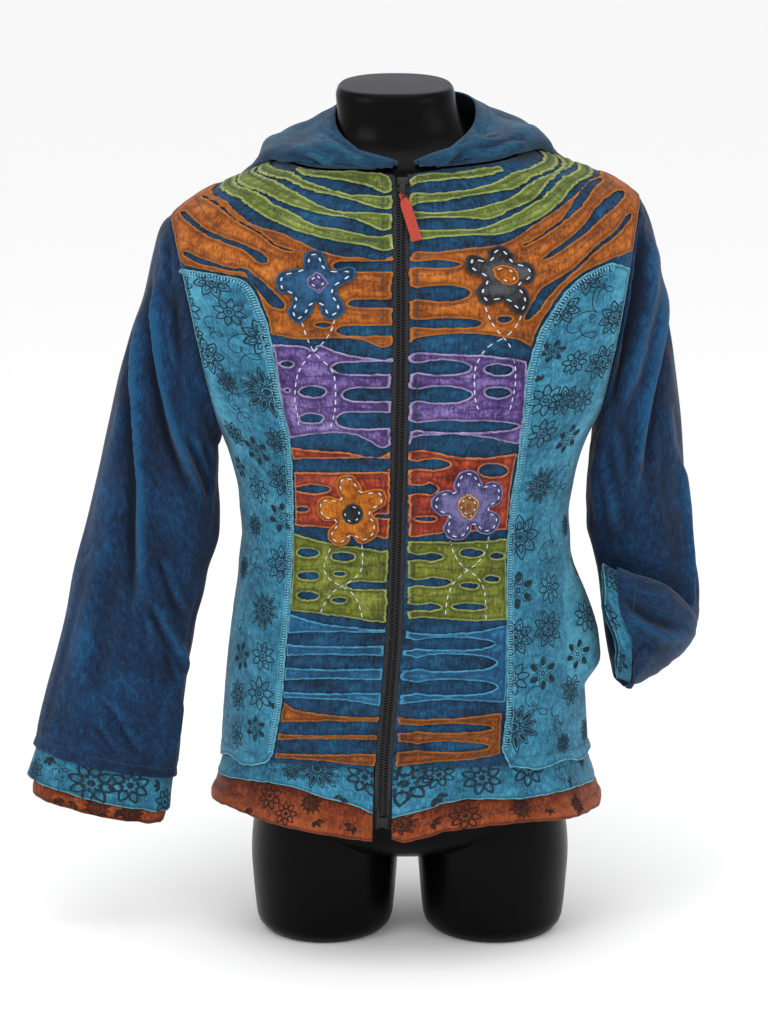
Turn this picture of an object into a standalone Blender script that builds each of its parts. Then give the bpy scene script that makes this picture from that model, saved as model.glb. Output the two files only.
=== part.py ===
"""Patchwork zip jacket with a hood, worn by a limbless display form.

Metres, +Z up, the zip faces -Y. Sizes on the front are millimetres in the front view: a frame
768 mm wide and 1024 mm tall, where "across" runs from its left edge and "down" from its top.
"""

import math

import bmesh
import bpy
from mathutils import Matrix, Vector

# Cloth and clearances
WALL = 0.0013            # jersey of the fronts, the back and the patches
SLEEVE_WALL = 0.0018     # measured across a sleeve, so the slanted wall is a little thinner
PATCH_WALL = 0.0010
SEAM_TURN = 0.0014       # half of a side seam's gap, as a share of a quarter turn
LIFT = 0.0008            # a patch over the panel it is sewn on
FORM_GAP = 0.0004        # the form under the shoulders

# The front view that the outlines are measured in
VIEW_WIDTH = 0.768
VIEW_HEIGHT = 1.024
VIEW_DISTANCE = 3.4
VIEW_ANGLE = math.radians(12)
VIEW_CENTRE = Vector((-0.021, 0.0, 0.430))

# The body, one row for each ring from the hem to the neck
ROUNDNESS = 2.3          # 2 is an ellipse, more is boxier
QUARTER_COLUMNS = 8
BODY = (
    # height, half width, front depth, back depth
    (0.128, 0.187, 0.138, 0.133),
    (0.158, 0.186, 0.137, 0.132),
    (0.188, 0.184, 0.135, 0.128),
    (0.235, 0.181, 0.131, 0.122),
    (0.285, 0.177, 0.127, 0.115),
    (0.335, 0.171, 0.123, 0.108),
    (0.385, 0.164, 0.121, 0.101),
    (0.430, 0.162, 0.121, 0.099),
    (0.470, 0.167, 0.123, 0.103),
    (0.510, 0.179, 0.127, 0.110),
    (0.550, 0.200, 0.130, 0.117),
    (0.590, 0.2155, 0.130, 0.122),
    (0.630, 0.230, 0.125, 0.124),
    (0.670, 0.2407, 0.114, 0.122),
    (0.705, 0.2415, 0.101, 0.116),
    (0.738, 0.230, 0.086, 0.105),
    (0.757, 0.203, 0.077, 0.097),
    (0.771, 0.170, 0.071, 0.090),
    (0.783, 0.138, 0.066, 0.083),
    (0.794, 0.108, 0.061, 0.076),
    (0.803, 0.085, 0.057, 0.070),
)
SHOULDER_TILT = 0.04     # the shoulder at +X is carried higher
TILT_FROM, TILT_TO = 0.62, 0.74
HEM_SIDE, HEM_FRONT = 0.191, 0.203
NECK_FRONT, NECK_SIDE, NECK_BACK = 0.779, 0.792, 0.797
ARMPIT = {-1: 0.511, 1: 0.530}
SHOULDER_TIP = 0.7395
ARMHOLE_STEPS = 18
ARMHOLE_INSET = 0.030    # a patch stops this far round from the armhole
EDGE = 0.985             # and this far round to the side or shoulder seam

# The zip
ZIP_LINE = ((382, 829), (384, 760), (393.5, 640), (398, 500), (400.5, 380), (401, 184))
ZIP_HALF = 0.0083        # from the zip's middle to the edge of the front
TAPE_INNER, TAPE_OUTER = 0.0034, 0.0079
CHAIN_HALF = 0.0031
ZIP_LOW = 0.140
ZIP_HEIGHTS = [0.25 + 0.05 * step for step in range(10)] + [0.725, 0.745, 0.757, 0.768]

parts = bpy.data.collections.new("knit_jacket")
cutters = bpy.data.collections.new("cutters")


BISECTIONS = 30          # steps of a search by halving


# Reading the tables

def read(table, column, at):
    """One column of a table at a height, with a smooth curve through its rows."""
    rows = len(table)
    low = 0
    while low < rows - 2 and at > table[low + 1][0]:
        low += 1
    high = low + 1
    span = table[high][0] - table[low][0]
    part = min(max((at - table[low][0]) / span, 0.0), 1.0)

    def slope(row):
        before = max(row - 1, 0)
        after = min(row + 1, rows - 1)
        return (table[after][column] - table[before][column]) / (table[after][0] - table[before][0])

    start, end = table[low][column], table[high][column]
    square, cube = part * part, part * part * part
    return ((2 * cube - 3 * square + 1) * start + (cube - 2 * square + part) * span * slope(low)
            + (3 * square - 2 * cube) * end + (cube - square) * span * slope(high))


def ease(value, start, end):
    """0 before start, 1 after end, smooth between."""
    part = min(max((value - start) / (end - start), 0.0), 1.0)
    return part * part * (3 - 2 * part)


# The front view

def at_depth(across, down, depth):
    """The point at y = depth that the front view shows at (across, down)."""
    toward = Vector((0, -math.cos(VIEW_ANGLE), math.sin(VIEW_ANGLE)))
    upward = Vector((0, math.sin(VIEW_ANGLE), math.cos(VIEW_ANGLE)))
    eye = VIEW_CENTRE + toward * VIEW_DISTANCE
    target = (VIEW_CENTRE + Vector((across / 1000 - VIEW_WIDTH / 2, 0, 0))
              + upward * (VIEW_HEIGHT / 2 - down / 1000))
    ray = target - eye
    return eye + ray * ((depth - eye.y) / ray.y)


def level(point):
    """A point's height before the shoulders were tilted."""
    height = point.z
    for _ in range(3):
        height = point.z - SHOULDER_TILT * point.x * ease(height, TILT_FROM, TILT_TO)
    return height


def front_depth(x, height):
    """y of the front at (x, height), or 0 beside the body."""
    reach = abs(x) / read(BODY, 1, height)
    if reach >= 1:
        return 0.0
    return -read(BODY, 2, height) * (1 - reach ** ROUNDNESS) ** (1 / ROUNDNESS)


def trace(points):
    """Front view points, as (turn, height) on the body."""
    found = []
    for across, down in points:
        near, far = -0.2, 0.0
        for _ in range(BISECTIONS):
            middle = (near + far) / 2
            point = at_depth(across, down, middle)
            if middle < front_depth(point.x, level(point)):
                near = middle
            else:
                far = middle
        point = at_depth(across, down, near)
        found.append((turn_at(point.x, level(point)), level(point)))
    return found


# The body's surface: turn -1 to 1 is the front from side to side, 1 to 3 the back

def turn_at(x, height):
    """The turn where the front is at x."""
    reach = min(abs(x) / read(BODY, 1, height), 1.0)
    turn = math.asin(reach ** (ROUNDNESS / 2)) / (math.pi / 2)
    return math.copysign(min(turn, EDGE), x)


def power(value):
    return math.copysign(abs(value) ** (2 / ROUNDNESS), value)


def body_point(turn, height):
    angle = turn * math.pi / 2
    x = read(BODY, 1, height) * power(math.sin(angle))
    depth = read(BODY, 2 if math.cos(angle) > 0 else 3, height)
    y = -depth * power(math.cos(angle))
    return Vector((x, y, height + SHOULDER_TILT * x * ease(height, TILT_FROM, TILT_TO)))


def body_normal(turn, height):
    step_turn, step_height = 0.02, 0.004
    round_it = body_point(turn + step_turn, height) - body_point(turn - step_turn, height)
    up_it = body_point(turn, height + step_height) - body_point(turn, height - step_height)
    return round_it.cross(up_it).normalized()


def zip_rows():
    """Height and x of the points of the zip's line."""
    rows = []
    for across, down in ZIP_LINE:
        place = at_depth(across, down, -0.13)
        place = at_depth(across, down, -read(BODY, 2, place.z))
        rows.append((place.z, place.x))
    return rows


ZIP_ROWS = zip_rows()
HEIGHTS = [row[0] for row in BODY]
TURNS = [-1 + column / QUARTER_COLUMNS for column in range(4 * QUARTER_COLUMNS + 1)]
GRID = [[(body_point(turn, height), body_normal(turn, height)) for turn in TURNS] for height in HEIGHTS]


def lay(turn, height, lift):
    """The point of the faceted body at (turn, height), moved out by lift."""
    place = ((turn + 1) % 4) * QUARTER_COLUMNS
    column = min(int(place), len(TURNS) - 2)
    row = 0
    while row < len(HEIGHTS) - 2 and height > HEIGHTS[row + 1]:
        row += 1
    u = place - column
    v = (height - HEIGHTS[row]) / (HEIGHTS[row + 1] - HEIGHTS[row])
    point, normal = Vector(), Vector()
    for near_row, row_share in ((row, 1 - v), (row + 1, v)):
        for near_column, share in ((column, 1 - u), (column + 1, u)):
            point += GRID[near_row][near_column][0] * row_share * share
            normal += GRID[near_row][near_column][1] * row_share * share
    return point + normal.normalized() * lift


def zip_x(height):
    """The zip's middle line, which leans to one side low down."""
    return read(ZIP_ROWS, 1, height)


def hem_height(turn):
    return HEM_SIDE + (HEM_FRONT - HEM_SIDE) * max(math.cos(turn * math.pi / 2), 0)


def neck_height(turn):
    facing = math.cos(turn * math.pi / 2)
    end = NECK_FRONT if facing > 0 else NECK_BACK
    return NECK_SIDE + (end - NECK_SIDE) * abs(facing) ** 1.5


def shoulder(across):
    """The point of the shoulder seam that the front view shows at across."""
    x = at_depth(across, 190, 0).x
    low, high = SHOULDER_TIP, 0.80
    for _ in range(BISECTIONS):
        middle = (low + high) / 2
        if read(BODY, 1, middle) > abs(x):
            low = middle
        else:
            high = middle
    return (math.copysign(EDGE, x), low)


# Materials and objects

def finish(name, colour, roughness=0.9, metallic=0.0):
    """A Principled material from an sRGB colour."""
    material = bpy.data.materials.new(name)
    material.use_nodes = True
    shader = material.node_tree.nodes["Principled BSDF"]
    linear = [((channel + 0.055) / 1.055) ** 2.4 if channel > 0.04045 else channel / 12.92
              for channel in (int(colour[at:at + 2], 16) / 255 for at in (1, 3, 5))]
    shader.inputs["Base Color"].default_value = (*linear, 1)
    shader.inputs["Roughness"].default_value = roughness
    shader.inputs["Metallic"].default_value = metallic
    return material


def add_object(name, mesh, material, collection=parts):
    thing = bpy.data.objects.new(name, mesh)
    collection.objects.link(thing)
    mesh.materials.clear()
    mesh.materials.append(material)
    return thing


def claim(name):
    """Move the primitive just added into the jacket's collection."""
    thing = bpy.context.object
    for owner in list(thing.users_collection):
        owner.objects.unlink(thing)
    parts.objects.link(thing)
    thing.name = name
    return thing


def loft(name, rings, material, closed=True, caps=True, looped=False, toward=None, face_at=0):
    """A skin through rings of points; looped joins the last ring to the first, and an open skin
    turns its faces so that the one at face_at looks toward the given way."""
    shape = bmesh.new()
    loops = [[shape.verts.new(point) for point in ring] for ring in rings]
    count = len(rings[0])
    faces = []
    for lower, upper in zip(loops, loops[1:] + (loops[:1] if looped else [])):
        for at in range(count if closed else count - 1):
            after = (at + 1) % count
            faces.append(shape.faces.new((lower[at], lower[after], upper[after], upper[at])))
    if caps:
        shape.faces.new(list(reversed(loops[0])))
        shape.faces.new(loops[-1])
    if toward is None:
        bmesh.ops.recalc_face_normals(shape, faces=shape.faces)
    else:
        shape.normal_update()
        if faces[face_at * (count - 1)].normal.dot(toward) < 0:
            bmesh.ops.reverse_faces(shape, faces=shape.faces)
    mesh = bpy.data.meshes.new(name)
    shape.to_mesh(mesh)
    shape.free()
    return add_object(name, mesh, material)


def solidify(thing, wall, outward):
    shell = thing.modifiers.new("wall", "SOLIDIFY")
    shell.thickness = wall
    shell.offset = 1 if outward else -1


def join_cells(shape, columns):
    """Leave one face in each cell of the body's grid, where no slash is in the way."""
    def cell(face):
        middle = face.calc_center_median()
        return (sum(middle.x > column for column in columns), sum(middle.y > row for row in HEIGHTS))

    cells = {face: cell(face) for face in shape.faces}
    inner = [edge for edge in shape.edges
             if len(edge.link_faces) == 2 and cells[edge.link_faces[0]] == cells[edge.link_faces[1]]]
    bmesh.ops.dissolve_edges(shape, edges=inner)
    straight = [vert for vert in shape.verts
                if len(vert.link_edges) == 2 and vert.calc_edge_angle(0) < math.radians(0.4)]
    bmesh.ops.dissolve_verts(shape, verts=straight)


def sheet(name, outline, material, holes=(), lift=0.0, wall=WALL, bulge=None,
          outward=None):
    """A flat pattern in (turn, height) with its slashes, laid on the body as a wall of cloth."""
    stretch = 0.2
    flat = bpy.data.curves.new(name, "CURVE")
    flat.dimensions = "2D"
    flat.fill_mode = "BOTH"
    for loop in (outline, *holes):
        spline = flat.splines.new("POLY")
        spline.points.add(len(loop) - 1)
        spline.use_cyclic_u = True
        for point, (turn, height) in zip(spline.points, loop):
            point.co = (turn * stretch, height, 0, 1)
    pattern = bpy.data.objects.new(name + "_pattern", flat)
    parts.objects.link(pattern)
    drawn = pattern.evaluated_get(bpy.context.evaluated_depsgraph_get())
    mesh = bpy.data.meshes.new_from_object(drawn)
    bpy.data.objects.remove(pattern)

    shape = bmesh.new()
    shape.from_mesh(mesh)
    bmesh.ops.remove_doubles(shape, verts=shape.verts, dist=0.00001)
    turns = [turn for turn, _ in outline]
    heights = [height for _, height in outline]
    cuts = [(Vector((turn * stretch, 0, 0)), Vector((1, 0, 0)))
            for turn in TURNS if min(turns) + 0.004 < turn < max(turns) - 0.004]
    cuts += [(Vector((0, height, 0)), Vector((0, 1, 0)))
             for height in HEIGHTS if min(heights) + 0.001 < height < max(heights) - 0.001]
    for place, direction in cuts:
        geometry = shape.verts[:] + shape.edges[:] + shape.faces[:]
        bmesh.ops.bisect_plane(shape, geom=geometry, dist=0.00002, plane_co=place, plane_no=direction)
    join_cells(shape, [turn * stretch for turn in TURNS])
    for vert in shape.verts:
        turn, height = vert.co.x / stretch, vert.co.y
        extra = bulge(turn, height) if bulge else 0.0
        vert.co = lay(turn, height, lift + extra)
    shape.normal_update()
    some_face = max(shape.faces, key=lambda face: face.calc_area())
    away = some_face.calc_center_median() - Vector((0, 0, some_face.calc_center_median().z))
    if some_face.normal.dot(away) < 0:
        bmesh.ops.reverse_faces(shape, faces=shape.faces)
    mesh.clear_geometry()
    shape.to_mesh(mesh)
    shape.free()
    thing = add_object(name, mesh, material)
    solidify(thing, wall, lift > 0 if outward is None else outward)
    return thing


# Body panels

def armhole_turn(side, height):
    """How far round the front the armhole's slanted plane meets the body."""
    low, high = ARMPIT[side], SHOULDER_TIP
    start, end = read(BODY, 1, low), read(BODY, 1, high)
    plane = start + (end - start) * (height - low) / (high - low)
    near, far = 0.0, 1.0
    for _ in range(BISECTIONS):
        middle = (near + far) / 2
        if lay(middle, height, 0).x < plane:
            near = middle
        else:
            far = middle
    return far


def armhole_height(side, angle):
    """Height at an angle round the armhole, 0 at the shoulder tip and pi at the armpit."""
    return (SHOULDER_TIP + ARMPIT[side]) / 2 + (SHOULDER_TIP - ARMPIT[side]) / 2 * math.cos(angle)


def armhole_front(side, start=SHOULDER_TIP, end=None, inset=0.0):
    """The front half of the armhole from height start down to end, as (turn, height)."""
    heights = [armhole_height(side, math.pi * step / ARMHOLE_STEPS) for step in range(ARMHOLE_STEPS + 1)]
    stop = ARMPIT[side] if end is None else end
    return [(side * min(armhole_turn(side, height) - inset, 1 - SEAM_TURN), height)
            for height in heights if stop <= height <= start]


def zip_edge(side, heights):
    return [(turn_at(zip_x(height) + side * ZIP_HALF, height), height) for height in heights]


def build_front(name, side, material):
    start = zip_edge(side, [0.25])[0][0]
    top = neck_height(start)
    heights = [hem_height(start)] + ZIP_HEIGHTS + [top]
    outline = zip_edge(side, heights)
    outline += [(side * turn, neck_height(turn)) for turn in (0.15, 0.3, 0.45, 0.6, 0.75, 0.9)]
    outline += [(side * (1 - SEAM_TURN), NECK_SIDE)]
    outline += armhole_front(side)
    outline += [(side * (1 - SEAM_TURN), HEM_SIDE)]
    outline += [(side * turn, hem_height(turn)) for turn in (0.8, 0.6, 0.4, 0.2)]
    return sheet(name, outline, material)


def build_back(name, material):
    right = [(2 - turn, height) for turn, height in reversed(armhole_front(1))]
    left = [(2 - turn, height) for turn, height in armhole_front(-1)]
    low, high = 1 + SEAM_TURN, 3 - SEAM_TURN
    outline = [(low, HEM_SIDE)] + right + [(low, NECK_SIDE)]
    outline += [(turn, neck_height(turn)) for turn in (1.2, 1.4, 1.6, 1.8, 2.0, 2.2, 2.4, 2.6, 2.8)]
    outline += [(high, NECK_SIDE)] + left + [(high, HEM_SIDE)]
    return sheet(name, outline, material)


# Slashes

def lens(left, right, top, bottom):
    """A slash between two raw edges, pointed at its ends."""
    width, tall = right - left, bottom - top
    shape = ((0, 0.5), (0.12, 0.14), (0.5, 0), (0.88, 0.16), (1, 0.5), (0.86, 0.88), (0.5, 1), (0.14, 0.84))
    return trace([(left + width * u, top + tall * v) for u, v in shape])


def slit(route):
    """A slash along rows of (across, down, width)."""
    upper, lower = [], []
    for at, (across, down, width) in enumerate(route):
        before = route[max(at - 1, 0)]
        after = route[min(at + 1, len(route) - 1)]
        run = Vector((after[0] - before[0], after[1] - before[1])).normalized()
        upper.append((across + run.y * width / 2, down - run.x * width / 2))
        lower.append((across - run.y * width / 2, down + run.x * width / 2))
    return trace(upper + lower[::-1])


# Patches of the centre front: top edge and bottom edge of each, and its slashes
PATCHES = {
    "purple_patch_right": ("purple", ((274, 346), (305, 348), (342, 355), (382, 361), (390, 361)),
                           ((390, 446), (354, 432), (324, 432), (293, 437)),
                           ((341, 387, 362, 376), (300, 326, 386, 397), (350, 387, 389, 401),
                            (300, 324, 413, 423), (345, 387, 413, 426))),
    "purple_patch_left": ("purple", ((411, 361), (418, 355), (463, 355), (525, 363)),
                          ((517, 442), (472, 434), (416, 434), (411, 443)),
                          ((415, 471, 361, 374), (484, 511, 366, 375), (415, 471, 388, 400),
                           (484, 510, 388, 397), (415, 512, 420, 431))),
    "red_patch_right": ("red", ((294, 449), (324, 451), (361, 456), (389, 452)),
                        ((389, 537), (380, 537), (329, 527), (296, 525)),
                        ((301, 382, 460, 471), (301, 331, 484, 492), (356, 386, 520, 527))),
    "red_patch_left": ("red", ((411, 455), (418, 451), (457, 457), (514, 456)),
                       ((506, 529), (444, 532), (411, 536)),
                       ((415, 451, 460, 469), (415, 439, 484, 494), (478, 505, 464, 476))),
    "olive_patch_right": ("olive", ((297, 538), (330, 543), (365, 549), (388, 549)),
                          ((388, 620), (342, 616), (294, 610)),
                          ((302, 320, 548, 557), (332, 354, 552, 561), (302, 320, 571, 580),
                           (353, 384, 581, 589), (301, 320, 591, 600), (332, 347, 597, 603))),
    "olive_patch_left": ("olive", ((409, 544), (444, 543), (504, 541)),
                         ((503, 620), (426, 617), (409, 621)),
                         ((413, 443, 553, 560), (459, 483, 548, 557), (413, 451, 577, 586),
                          (460, 478, 582, 589), (484, 497, 575, 582), (451, 486, 603, 610),
                          (413, 442, 604, 610))),
    "blue_patch_right": ("sky", ((294, 618), (324, 625), (386, 629)),
                         ((383, 705), (361, 702), (288, 697)),
                         ((298, 381, 632, 646), (297, 380, 655, 668), (295, 379, 679, 692))),
    "blue_patch_left": ("sky", ((406, 632), (444, 634), (481, 631), (503, 627)),
                        ((502, 702), (441, 699), (402, 704)),
                        ((411, 492, 638, 649), (410, 495, 655, 670), (408, 495, 681, 694))),
    "orange_patch_right": ("orange", ((286, 706), (312, 714), (380, 720)),
                           ((377, 765), (366, 765), (320, 760), (278, 756)),
                           ((294, 374, 722, 733), (288, 372, 741, 752))),
    "orange_patch_left": ("orange", ((401, 719), (441, 720), (499, 714)),
                          ((498, 753), (468, 759), (428, 761), (399, 765)),
                          ((406, 491, 724, 733), (405, 487, 741, 752))),
}

# Strips of the yoke from the zip to the shoulder: upper edge, lower edge, where they end on the shoulder
STRIPS = {
    "green_strip_right_1": (((390, 183), (380, 178), (359, 176), (336, 175), (313, 173), (297, 171)),
                            ((304, 176), (328, 180), (350, 184), (370, 187), (390, 190)), None),
    "green_strip_right_2": (((390, 197), (368, 197), (350, 195), (325, 188), (308, 182), (292, 173)),
                            ((285, 180), (305, 189), (328, 195), (350, 200), (380, 207), (390, 208)),
                            (273, 262)),
    "green_strip_right_3": (((390, 216), (364, 213), (344, 213), (325, 208), (307, 199), (292, 191),
                             (272, 180)),
                            ((260, 192), (282, 202), (302, 209), (325, 215), (351, 218), (380, 228),
                             (390, 229)), (259, 245)),
    "green_strip_right_4": (((390, 236), (367, 237), (344, 231), (321, 227), (307, 222), (292, 213),
                             (272, 203), (255, 192)),
                            ((238, 198), (253, 209), (275, 222), (298, 231), (321, 238), (344, 242),
                             (367, 246), (390, 249)), (242, 228)),
    "green_strip_left_1": (((411, 180), (418, 176), (435, 176), (459, 175), (481, 172), (499, 170)),
                           ((503, 172), (481, 177), (459, 180), (435, 181), (411, 184)), None),
    "green_strip_left_2": (((411, 197), (435, 194), (465, 191), (484, 187), (499, 181), (514, 173)),
                           ((534, 177), (519, 187), (499, 192), (475, 195), (451, 200), (419, 204),
                            (411, 207)), (534, 548)),
    "green_strip_left_3": (((411, 214), (435, 214), (467, 211), (491, 205), (507, 200), (522, 190),
                            (536, 180)),
                           ((560, 172), (550, 182), (534, 199), (526, 204), (510, 210), (497, 217),
                            (484, 220), (464, 218), (411, 220)), (551, 570)),
    "green_strip_left_4": (((411, 233), (435, 232), (456, 230), (481, 229), (494, 224), (513, 216),
                            (532, 205), (547, 194), (562, 178)),
                           ((577, 183), (566, 196), (554, 208), (538, 219), (519, 228), (497, 235),
                            (459, 236), (411, 241)), (573, 588)),
}

YOKES = {
    "orange_yoke_right": {
        "side": -1,
        "top": ((391, 260), (367, 260), (344, 258), (325, 253), (305, 245), (282, 234), (258, 227),
                (240, 216), (227, 202)),
        "shoulder": 220,
        "low": ((186, 265), (198, 268), (217, 272), (233, 275), (246, 277), (252, 283), (258, 292),
                (264, 305), (270, 324), (273, 336)),
        "bottom": ((298, 339), (325, 338), (351, 338), (380, 346), (391, 345)),
        "slits": (((184, 215, 5), (194, 223, 6), (206, 232, 5), (221, 239, 5), (240, 246, 5),
                   (252, 252, 6), (261, 258, 9), (268, 262, 5)),
                  ((186, 253, 5), (198, 260, 6), (214, 265, 5), (233, 270, 4), (246, 271, 5),
                   (255, 280, 7), (266, 292, 10), (276, 302, 11), (284, 307, 6))),
        "lenses": ((341, 387, 261, 272), (354, 387, 299, 308), (315, 332, 322, 328),
                   (345, 387, 325, 336)),
    },
    "orange_yoke_left": {
        "side": 1,
        "top": ((410, 257), (435, 254), (464, 251), (489, 248), (507, 244), (527, 230), (546, 218),
                (562, 206), (577, 194), (588, 182)),
        "shoulder": 598,
        "low": ((609, 259), (586, 270), (574, 278), (564, 287), (553, 302), (543, 317), (535, 333),
                (531, 346)),
        "bottom": ((516, 341), (491, 337), (465, 334), (435, 338), (410, 345)),
        "slits": (((602, 182, 3), (591, 186, 7), (583, 196, 8), (575, 207, 7), (566, 218, 4)),
                  ((621, 194, 7), (609, 204, 12), (597, 215, 10), (588, 226, 8), (578, 234, 7),
                   (568, 241, 4)),
                  ((612, 238, 3), (594, 252, 4), (578, 266, 4), (562, 279, 5), (546, 291, 9),
                   (535, 307, 9), (527, 318, 4))),
        "lenses": ((414, 460, 260, 269), (414, 471, 285, 302), (414, 482, 318, 329)),
    },
}


def beside_zip(outline, side):
    """Keep an outline on its own side of the zip."""
    kept = []
    for turn, height in outline:
        nearest = turn_at(zip_x(height) + side * (ZIP_HALF + 0.001), height)
        kept.append(((max if side > 0 else min)(turn, nearest), height))
    return kept


def build_patch(name, row, materials):
    colour, top, bottom, slashes = row
    side = 1 if name.endswith("left") else -1
    holes = [lens(*slash) for slash in slashes]
    return sheet(name, beside_zip(trace(top + bottom), side), materials[colour], holes, LIFT, PATCH_WALL)


def build_strip(name, row, material):
    upper, lower, ends = row
    outline = trace(upper)
    if ends:
        outline += [shoulder(across) for across in ends]
    outline += trace(lower)
    side = 1 if "left" in name else -1
    return sheet(name, beside_zip(outline, side), material, (), LIFT, PATCH_WALL)


def build_yoke(name, row, material):
    side = row["side"]
    lower_end = trace(row["low"][:1])[0][1]
    outline = trace(row["top"]) + [shoulder(row["shoulder"])]
    outline += armhole_front(side, SHOULDER_TIP - 0.004, lower_end + 0.004, ARMHOLE_INSET)
    outline += trace(row["low"]) + trace(row["bottom"])
    holes = [slit(route) for route in row["slits"]] + [lens(*slash) for slash in row["lenses"]]
    return sheet(name, beside_zip(outline, side), material, holes, LIFT, PATCH_WALL)


# Side panels of printed jersey: the edge beside the centre column, from the yoke to the hem
SIDE_PANELS = {
    "side_panel_right": (-1, ((184, 269), (198, 272), (217, 275), (233, 278), (243, 281), (249, 287),
                              (255, 296), (261, 309), (267, 326), (270, 344), (275, 368), (281, 400),
                              (285, 417), (289, 445), (291, 469), (292, 528), (291, 565), (289, 609),
                              (287, 625), (284, 654), (281, 702), (272, 754))),
    "side_panel_left": (1, ((609, 264), (590, 273), (577, 282), (567, 291), (557, 305), (547, 320),
                            (539, 336), (534, 352), (527, 380), (524, 417), (521, 443), (518, 469),
                            (512, 500), (509, 534), (508, 574), (508, 620), (508, 702), (503, 751))),
}
POCKET_BULGE = 0.018     # the cuff tucked in the pocket holds its edge off the body


def pocket(turn, height):
    over_height = (1 - ease(height, 0.300, 0.405)) * ease(height, 0.255, 0.285)
    return POCKET_BULGE * ease(turn, 0.66, 0.93) * over_height


def build_side_panel(name, row, material):
    side, edge = row
    column = trace(edge)
    outline = column + [(side * turn, hem_height(turn) + 0.0015) for turn in (0.7, 0.85)]
    outline += [(side * EDGE, HEM_SIDE + 0.0015), (side * EDGE, ARMPIT[side] - 0.014)]
    outline += reversed(armhole_front(side, column[0][1] - 0.002, ARMPIT[side] + 0.018, ARMHOLE_INSET))
    return sheet(name, outline, material, (), LIFT, PATCH_WALL, pocket if side > 0 else None)


# Flowers: the middle, then the tip of each petal
FLOWERS = {
    "flower_blue": ("denim", (318, 284), ((315, 252), (356, 270), (339, 316), (299, 320), (279, 279))),
    "flower_charcoal": ("charcoal", (505, 276), ((500, 250), (531, 274), (522, 311), (485, 302),
                                                 (468, 261))),
    "flower_orange": ("orange", (354, 511), ((348, 478), (384, 498), (370, 539), (339, 546), (321, 504))),
    "flower_lavender": ("lavender", (466, 504), ((467, 472), (496, 489), (489, 528), (453, 535),
                                                 (435, 500))),
}
CENTRES = {
    "flower_blue_centre": ("lavender", (318, 284), 9.5),
    "flower_charcoal_centre": ("orange", (505, 276), 11),
    "flower_orange_centre": ("charcoal", (353, 511), 9.5),
    "flower_lavender_centre": ("brown", (466, 502), 10.5),
}
PETAL = ((-0.5, 0.46), (-0.3, 0.80), (-0.15, 0.97), (0.15, 0.97), (0.3, 0.80))
FLOWER_LIFT = LIFT + PATCH_WALL + 0.0006
CENTRE_LIFT = FLOWER_LIFT + PATCH_WALL + 0.0005
CENTRE_POINTS = 10


def build_flower(name, row, materials):
    colour, (middle_across, middle_down), tips = row
    polar = [(math.atan2(down - middle_down, across - middle_across),
              math.hypot(across - middle_across, down - middle_down)) for across, down in tips]
    outline = []
    for at, (angle, reach) in enumerate(polar):
        before = (polar[at - 1][0] - angle + math.pi) % math.tau - math.pi
        after = (polar[(at + 1) % 5][0] - angle + math.pi) % math.tau - math.pi
        for share, radius in PETAL:
            swing = -share * before if share < 0 else share * after
            outline.append((middle_across + reach * radius * math.cos(angle + swing),
                            middle_down + reach * radius * math.sin(angle + swing)))
    return sheet(name, trace(outline), materials[colour], (), FLOWER_LIFT, PATCH_WALL)


def build_centre(name, row, materials):
    colour, (across, down), radius = row
    angles = [math.tau * step / CENTRE_POINTS for step in range(CENTRE_POINTS)]
    ring = [(across + radius * math.cos(angle), down + radius * math.sin(angle)) for angle in angles]
    return sheet(name, trace(ring), materials[colour], (), CENTRE_LIFT, PATCH_WALL)


# Sleeves and their cuffs: rings between an outer and an inner point of the front view
RING_POINTS = 20
SLEEVE_GAP = 0.0007      # from the armhole's cut edge
SLEEVES = {
    "sleeve_right": (-1, (
        # outer across and down, inner across and down, half depth, depth of the middle, turn of the front
        (159, 229, 217, 446, 0.060, 0.000, 0),
        (151, 256, 218, 464, 0.061, 0.000, 0),
        (142, 299, 219, 486, 0.061, -0.001, 0),
        (131, 334, 220, 510, 0.060, -0.002, 0),
        (118, 380, 219, 536, 0.058, -0.004, 0),
        (107, 430, 211, 564, 0.055, -0.006, 0),
        (97, 479, 204, 594, 0.052, -0.008, 0),
        (86, 524, 196, 622, 0.049, -0.010, 0),
        (75, 568, 191, 650, 0.046, -0.012, 0),
        (63, 626, 187, 686, 0.043, -0.014, 0),
        (47, 684, 181, 728, 0.041, -0.016, 0),
        (34, 743, 176, 774, 0.040, -0.018, 0),
    )),
    # this one folds forward at the elbow: its front turns up and then faces back
    "sleeve_left": (1, (
        (650, 222, 597, 432, 0.060, 0.000, 0),
        (656, 248, 592, 446, 0.061, 0.003, 0),
        (661, 276, 589, 462, 0.059, 0.007, 0),
        (668, 320, 587, 484, 0.056, 0.012, 0),
        (674, 368, 586, 502, 0.053, 0.017, 0),
        (680, 420, 587, 518, 0.050, 0.022, 0),
        (685, 474, 588, 532, 0.046, 0.026, 0),
        (691, 525, 592, 548, 0.041, 0.029, 0),
        (696, 562, 597, 572, 0.036, 0.032, 0),
        (698, 590, 602, 606, 0.033, 0.033, 15),
        (698, 606, 608, 648, 0.029, 0.024, 50),
        (695, 615, 614, 672, 0.023, 0.003, 90),
        (690, 606, 617, 682, 0.026, -0.020, 132),
        (670, 588, 618, 685, 0.030, -0.035, 168),
        (643, 577, 619, 686, 0.031, -0.039, 180),
        (617, 568, 619, 685, 0.031, -0.039, 180),
    )),
}
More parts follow.
